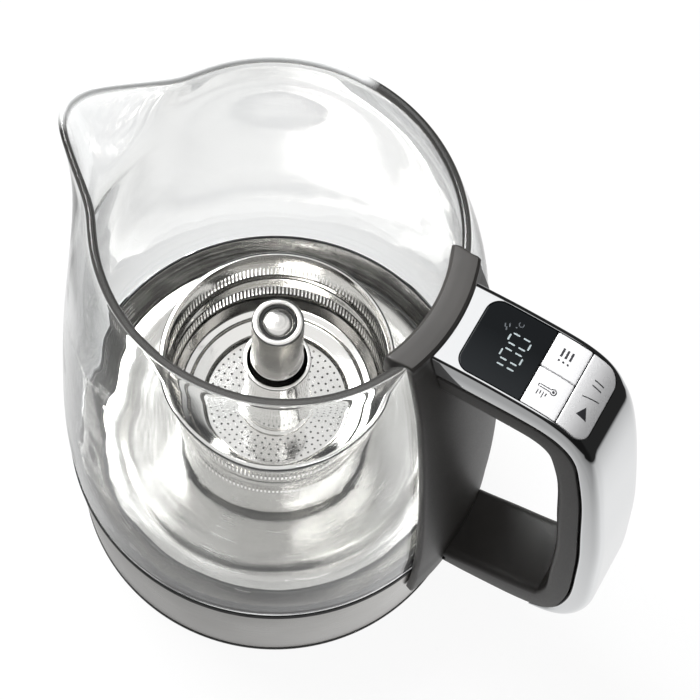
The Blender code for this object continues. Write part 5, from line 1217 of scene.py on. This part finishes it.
def digit_bars():
    """Two noughts and a one in seven segments."""
    middle = -(window_extent()[0] + DIGIT_FROM_TOP)
    half, quarter = DIGIT_HEIGHT / 2, DIGIT_HEIGHT / 4
    strokes = []
    for digit, sides in enumerate(("r", "lr", "lr")):
        left = FIRST_DIGIT + digit * DIGIT_PITCH
        for side in sides:
            u = left + (DIGIT_WIDTH if side == "r" else 0)
            strokes += [bar((u, middle + w - STROKE_LENGTH / 2), (u, middle + w + STROKE_LENGTH / 2),
                            STROKE_WIDTH, STROKE_WIDTH / 2) for w in (-quarter, quarter)]
        if digit:
            ends = (left + DIGIT_WIDTH / 2 - STROKE_LENGTH / 2, left + DIGIT_WIDTH / 2 + STROKE_LENGTH / 2)
            strokes += [bar((ends[0], middle + w), (ends[1], middle + w), STROKE_WIDTH, STROKE_WIDTH / 2)
                        for w in (-half, half)]
    return strokes


def unit_marks():
    """A degree sign, a C and a small pair of arrows, beside and above the last digit."""
    middle = -(window_extent()[0] + DIGIT_FROM_TOP)
    top = middle + DIGIT_HEIGHT / 2
    last = FIRST_DIGIT + 2 * DIGIT_PITCH + DIGIT_WIDTH / 2
    marks = [dot((last + 0.0036, top - 0.0005), 0.00026)]
    marks.append(arc((last + 0.0052, top - 0.0014), 0.00075, 0.00028, 50, 310))
    marks += [bar((last + u, top + w), (last + u + 0.0011, top + w + 0.0004), 0.00040)
              for u, w in ((0.0014, 0.0018), (0.0022, 0.0026), (0.0028, 0.0014))]
    return marks


def key_middle(node):
    x0, x1, y0, y1 = key_extent(node)
    return np.array([(y0 + y1) / 2, -(x0 + x1) / 2])


def strength_bars():
    """Three bars, each with a dot at its left."""
    middle = key_middle("strength_button") + [0.0002, 0.0004]
    marks = []
    for row in (-1, 0, 1):
        w = row * 0.00150
        marks.append(bar(middle + [-0.0008, w], middle + [0.0021, w], 0.00070))
        marks.append(dot(middle + [-0.0021, w], 0.00036))
    return marks


def thermometer_bars():
    """A thermometer with its bulb below and four short lines at its left."""
    middle = key_middle("temperature_button")
    tube, bulb = 0.0011, middle + [0.0011, -0.0014]
    marks = [arc(bulb, 0.00092, 0.00034, 110, 430)]
    marks.append(dot(bulb, 0.00045))
    marks.append(arc(middle + [tube, 0.0031], 0.00040, 0.00030, 10, 170, 8))
    for side in (-0.0004, 0.0004):
        marks.append(bar(middle + [tube + side, -0.0003], middle + [tube + side, 0.0030], 0.00030))
    for w, length in ((0.0029, 0.0017), (0.0020, 0.0012), (0.0011, 0.0020), (0.0002, 0.0011)):
        marks.append(bar(middle + [-0.0003, w], middle + [-0.0003 - length, w], 0.00032))
    return marks


def start_bars():
    """A triangle and two bars, with a leaning line between them."""
    middle = key_middle("start_button") + [0.0, -0.0006]
    left, right = middle + [-0.0050, 0], middle + [0.0050, 0]
    return [[left + [-0.0014, -0.0018], left + [0.0022, 0], left + [-0.0014, 0.0018]],
            bar(middle + [-0.0006, 0.0027], middle + [0.0011, -0.0025], 0.00032),
            bar(right + [-0.0009, -0.0016], right + [-0.0009, 0.0016], 0.00040),
            bar(right + [0.0009, -0.0016], right + [0.0009, 0.0016], 0.00040)]


# Frame nodes that stay
def dress_frame(finishes):
    """Gives each frame node that still shows a finish for its slot in the record."""
    slot_of = {part["node"]: part["material_slot"] for part in frame["record"]["subparts"]}
    for node, piece in frame["nodes"].items():
        if not piece.hide_render:
            piece.data.materials.clear()
            piece.data.materials.append(finishes[slot_of[node]])


# Camera, stage and light
CAMERA_PLACE = (0.14391, -0.26505, 0.83530)
CAMERA_TURN = 28.5
CAMERA_PITCH = 67.16
CAMERA_ROLL = 1.48
FOCAL_PIXELS = 2300
FRAME_PIXELS = 700
PRINCIPAL_POINT = (277.5, 344.8)
SENSOR = 36.0


def make_camera():
    """The photograph's camera: pitched down, rolled a little and turned about the upright, with its lens and shift
    from a focal length and a principal point in pixels."""
    pitch, roll = math.radians(CAMERA_PITCH), math.radians(CAMERA_ROLL)
    forward = Vector((0, math.cos(pitch), -math.sin(pitch)))
    right = Vector((1, 0, 0))
    up = right.cross(forward)
    side = right * math.cos(roll) + up * math.sin(roll)
    above = up * math.cos(roll) - right * math.sin(roll)
    turned = Matrix.Rotation(math.radians(CAMERA_TURN), 3, "Z") @ Matrix((side, above, -forward)).transposed()
    camera = bpy.data.objects.new("camera", bpy.data.cameras.new("camera"))
    bpy.context.scene.collection.objects.link(camera)
    place = Vector(CAMERA_PLACE) + Vector((AXIS_X, 0, 0))
    camera.matrix_world = Matrix.Translation(place) @ turned.to_4x4()
    camera.data.sensor_width = SENSOR
    camera.data.lens = FOCAL_PIXELS / FRAME_PIXELS * SENSOR
    camera.data.shift_x = 0.5 - PRINCIPAL_POINT[0] / FRAME_PIXELS
    camera.data.shift_y = PRINCIPAL_POINT[1] / FRAME_PIXELS - 0.5
    bpy.context.scene.camera = camera


def node_maths(tree, operation, a, b):
    """A Math node on two sockets or numbers."""
    node = tree.nodes.new("ShaderNodeMath")
    node.operation = operation
    for socket, value in zip(node.inputs, (a, b)):
        if isinstance(value, bpy.types.NodeSocket):
            tree.links.new(value, socket)
        else:
            socket.default_value = value
    return node.outputs[0]


def background_rays(tree):
    """1 for the camera's rays and for those that glass alone has passed on."""
    path = tree.nodes.new("ShaderNodeLightPath")
    bounced = node_maths(tree, "ADD", path.outputs["Glossy Depth"], path.outputs["Diffuse Depth"])
    through = node_maths(tree, "MULTIPLY", path.outputs["Is Transmission Ray"],
                         node_maths(tree, "LESS_THAN", bounced, 0.5))
    return node_maths(tree, "MAXIMUM", path.outputs["Is Camera Ray"], through)


def grey_ramp(tree, value, stops):
    """A colour ramp of greys."""
    ramp = tree.nodes.new("ShaderNodeValToRGB")
    while len(ramp.color_ramp.elements) < len(stops):
        ramp.color_ramp.elements.new(0.5)
    for element, (position, level) in zip(ramp.color_ramp.elements, stops):
        element.position = position
        element.color = (level, level, level, 1)
    tree.links.new(value, ramp.inputs["Fac"])
    return ramp.outputs["Color"]


FLOOR_SEEN_SHARE = 0.93
FLOOR_MIRROR_STOPS = ((0.0, 0.84), (0.17, 0.84), (0.25, 0.66), (0.33, 0.50), (0.37, 0.02), (1.0, 0.02))
# Painted shade on the floor as mirrors see it: its near side, towards -Y, dimmer.
FLOOR_NEAR_SHADE_STOPS = ((0.0, 0.42), (0.40, 0.45), (0.49, 1.0), (1.0, 1.0))
SKY_STOPS = ((0.0, 0.3), (0.50, 0.02), (0.84, 0.02), (0.89, 1.0), (1.0, 1.05))
SKY_SOFT_STOPS = ((0.0, 0.1), (0.50, 0.05), (0.75, 0.22), (1.0, 0.60))


def make_floor():
    """A wide white floor. The camera's rays see part of it as plain white, and the rest is lit, so that the
    object's shadow stays. Mirrors see it white near the object and dark farther away, with a painted shade that dims
    its near side."""
    material = bpy.data.materials.new("pale_floor")
    material.use_nodes = True
    tree = material.node_tree
    shader = tree.nodes["Principled BSDF"]
    shader.inputs["Base Color"].default_value = (0.9, 0.9, 0.9, 1)
    shader.inputs["Roughness"].default_value = 0.9
    white = tree.nodes.new("ShaderNodeEmission")
    seen = tree.nodes.new("ShaderNodeMixShader")
    background = background_rays(tree)
    tree.links.new(node_maths(tree, "MULTIPLY", background, FLOOR_SEEN_SHARE), seen.inputs["Fac"])
    tree.links.new(shader.outputs["BSDF"], seen.inputs[1])
    tree.links.new(white.outputs["Emission"], seen.inputs[2])
    place = tree.nodes.new("ShaderNodeTexCoord")
    length = tree.nodes.new("ShaderNodeVectorMath")
    length.operation = "LENGTH"
    tree.links.new(place.outputs["Object"], length.inputs[0])
    parts = tree.nodes.new("ShaderNodeSeparateXYZ")
    tree.links.new(place.outputs["Object"], parts.inputs["Vector"])
    across = node_maths(tree, "ADD", parts.outputs["Y"], 0.5)
    mirrored = tree.nodes.new("ShaderNodeEmission")
    tree.links.new(grey_ramp(tree, length.outputs["Value"], FLOOR_MIRROR_STOPS), mirrored.inputs["Color"])
    # Painted shade: mirrors see the floor's near side dimmer.
    tree.links.new(grey_ramp(tree, across, FLOOR_NEAR_SHADE_STOPS), mirrored.inputs["Strength"])
    path = tree.nodes.new("ShaderNodeLightPath")
    by_mirror = node_maths(tree, "MULTIPLY", node_maths(tree, "GREATER_THAN", path.outputs["Glossy Depth"], 0.5),
                           node_maths(tree, "LESS_THAN", path.outputs["Diffuse Depth"], 0.5))
    mix = tree.nodes.new("ShaderNodeMixShader")
    tree.links.new(by_mirror, mix.inputs["Fac"])
    tree.links.new(seen.outputs["Shader"], mix.inputs[1])
    tree.links.new(mirrored.outputs["Emission"], mix.inputs[2])
    tree.links.new(mix.outputs["Shader"], tree.nodes["Material Output"].inputs["Surface"])
    half = 6.0
    drop = 0.0002
    mesh = bpy.data.meshes.new("floor")
    mesh.from_pydata([(-half, -half, -drop), (half, -half, -drop), (half, half, -drop), (-half, half, -drop)],
                     [], [(0, 1, 2, 3)])
    mesh.materials.append(material)
    floor = bpy.data.objects.new("floor", mesh)
    bpy.context.scene.collection.objects.link(floor)


def make_world():
    """White room for what the camera sees, also through glass. Mirrors see it white above and dark round the
    horizon, and it lights the rest softly from above."""
    world = bpy.data.worlds.new("studio")
    bpy.context.scene.world = world
    world.use_nodes = True
    tree = world.node_tree
    back = tree.nodes["Background"]
    place = tree.nodes.new("ShaderNodeTexCoord")
    parts = tree.nodes.new("ShaderNodeSeparateXYZ")
    tree.links.new(place.outputs["Generated"], parts.inputs["Vector"])
    height = node_maths(tree, "ADD", node_maths(tree, "MULTIPLY", parts.outputs["Z"], 0.5), 0.5)
    path = tree.nodes.new("ShaderNodeLightPath")
    soft = tree.nodes.new("ShaderNodeMix")
    soft.data_type = "RGBA"
    tree.links.new(node_maths(tree, "GREATER_THAN", path.outputs["Diffuse Depth"], 0.5), soft.inputs["Factor"])
    tree.links.new(grey_ramp(tree, height, SKY_STOPS), soft.inputs["A"])
    tree.links.new(grey_ramp(tree, height, SKY_SOFT_STOPS), soft.inputs["B"])
    mix = tree.nodes.new("ShaderNodeMix")
    mix.data_type = "RGBA"
    tree.links.new(background_rays(tree), mix.inputs["Factor"])
    tree.links.new(soft.outputs["Result"], mix.inputs["A"])
    mix.inputs["B"].default_value = (1, 1, 1, 1)
    tree.links.new(mix.outputs["Result"], back.inputs["Color"])
    back.inputs["Strength"].default_value = 1.0


def make_lights():
    """One large soft lamp high over the spout's side, so that the handle's lower arm lies in the strip's shade."""
    lamp = bpy.data.lights.new("soft_lamp", "AREA")
    lamp.shape = "RECTANGLE"
    lamp.size, lamp.size_y = 1.0, 1.0
    lamp.energy = 46
    holder = bpy.data.objects.new("soft_lamp", lamp)
    bpy.context.scene.collection.objects.link(holder)
    place = Vector((AXIS_X - 1.0, 0.35, 1.35))
    holder.location = place
    holder.rotation_mode = "QUATERNION"
    holder.rotation_quaternion = (Vector((AXIS_X, 0, 0.1)) - place).to_track_quat("-Z", "Y")


make_camera()
make_floor()
make_world()
make_lights()

chrome = mirror_chrome()
mirror = polished_steel()
skirt_steel = brushed_steel("brushed_steel", (0.66, 0.65, 0.63), 0.30)
post_steel = brushed_steel("satin_post", (0.66, 0.65, 0.63), 0.20, 7000)
grey_plastic = moulded_plastic("dark_grey_plastic", (0.040, 0.0375, 0.035), 0.44)
black_plastic = moulded_plastic("black_plastic", (0.016, 0.016, 0.016), 0.42)
black_rubber = soft_rubber("black_seal", (0.012, 0.012, 0.012))
key_finish = satin_key()
window_finish = black_window()

make_jug()
make_base(skirt_steel, black_rubber, black_plastic, polished_steel("dull_steel", (0.54, 0.53, 0.51), 0.18))
make_post(post_steel, mirror, black_rubber)
make_basket_wall(mirror)
make_sieve(mirror)
make_sleeve(mirror)
make_strip(grey_plastic)
make_chrome(chrome, black_plastic)
make_grip(grey_plastic)
make_panel(window_finish, key_finish, printed_ink("key_ink", (0.03, 0.03, 0.035)),
           lit_segment("lit_segment", (0.27, 0.31, 0.32), 0.6), lit_segment("faint_segment", (0.07, 0.08, 0.09), 0.1))
dress_frame({
    "clear_glass": grey_plastic,
    "brushed_steel": skirt_steel,
    "polished_steel": mirror,
    "chrome": chrome,
    "dark_grey_plastic": grey_plastic,
    "black_plastic": black_plastic,
    "black_window": window_finish,
    "grey_silicone": black_rubber,
    "silver_key": key_finish,
    "aluminium": machined_metal("aluminium", (0.62, 0.63, 0.64), 0.4),
    "brass": machined_metal("brass", (0.65, 0.48, 0.20), 0.3),
    "magnet": machined_metal("magnet_plating", (0.30, 0.30, 0.31), 0.35),
    "circuit_board": lacquered_board(),
    "wiring": soft_rubber("wiring_sheath", (0.25, 0.25, 0.26)),
})

bpy.context.scene.view_settings.view_transform = "Standard"
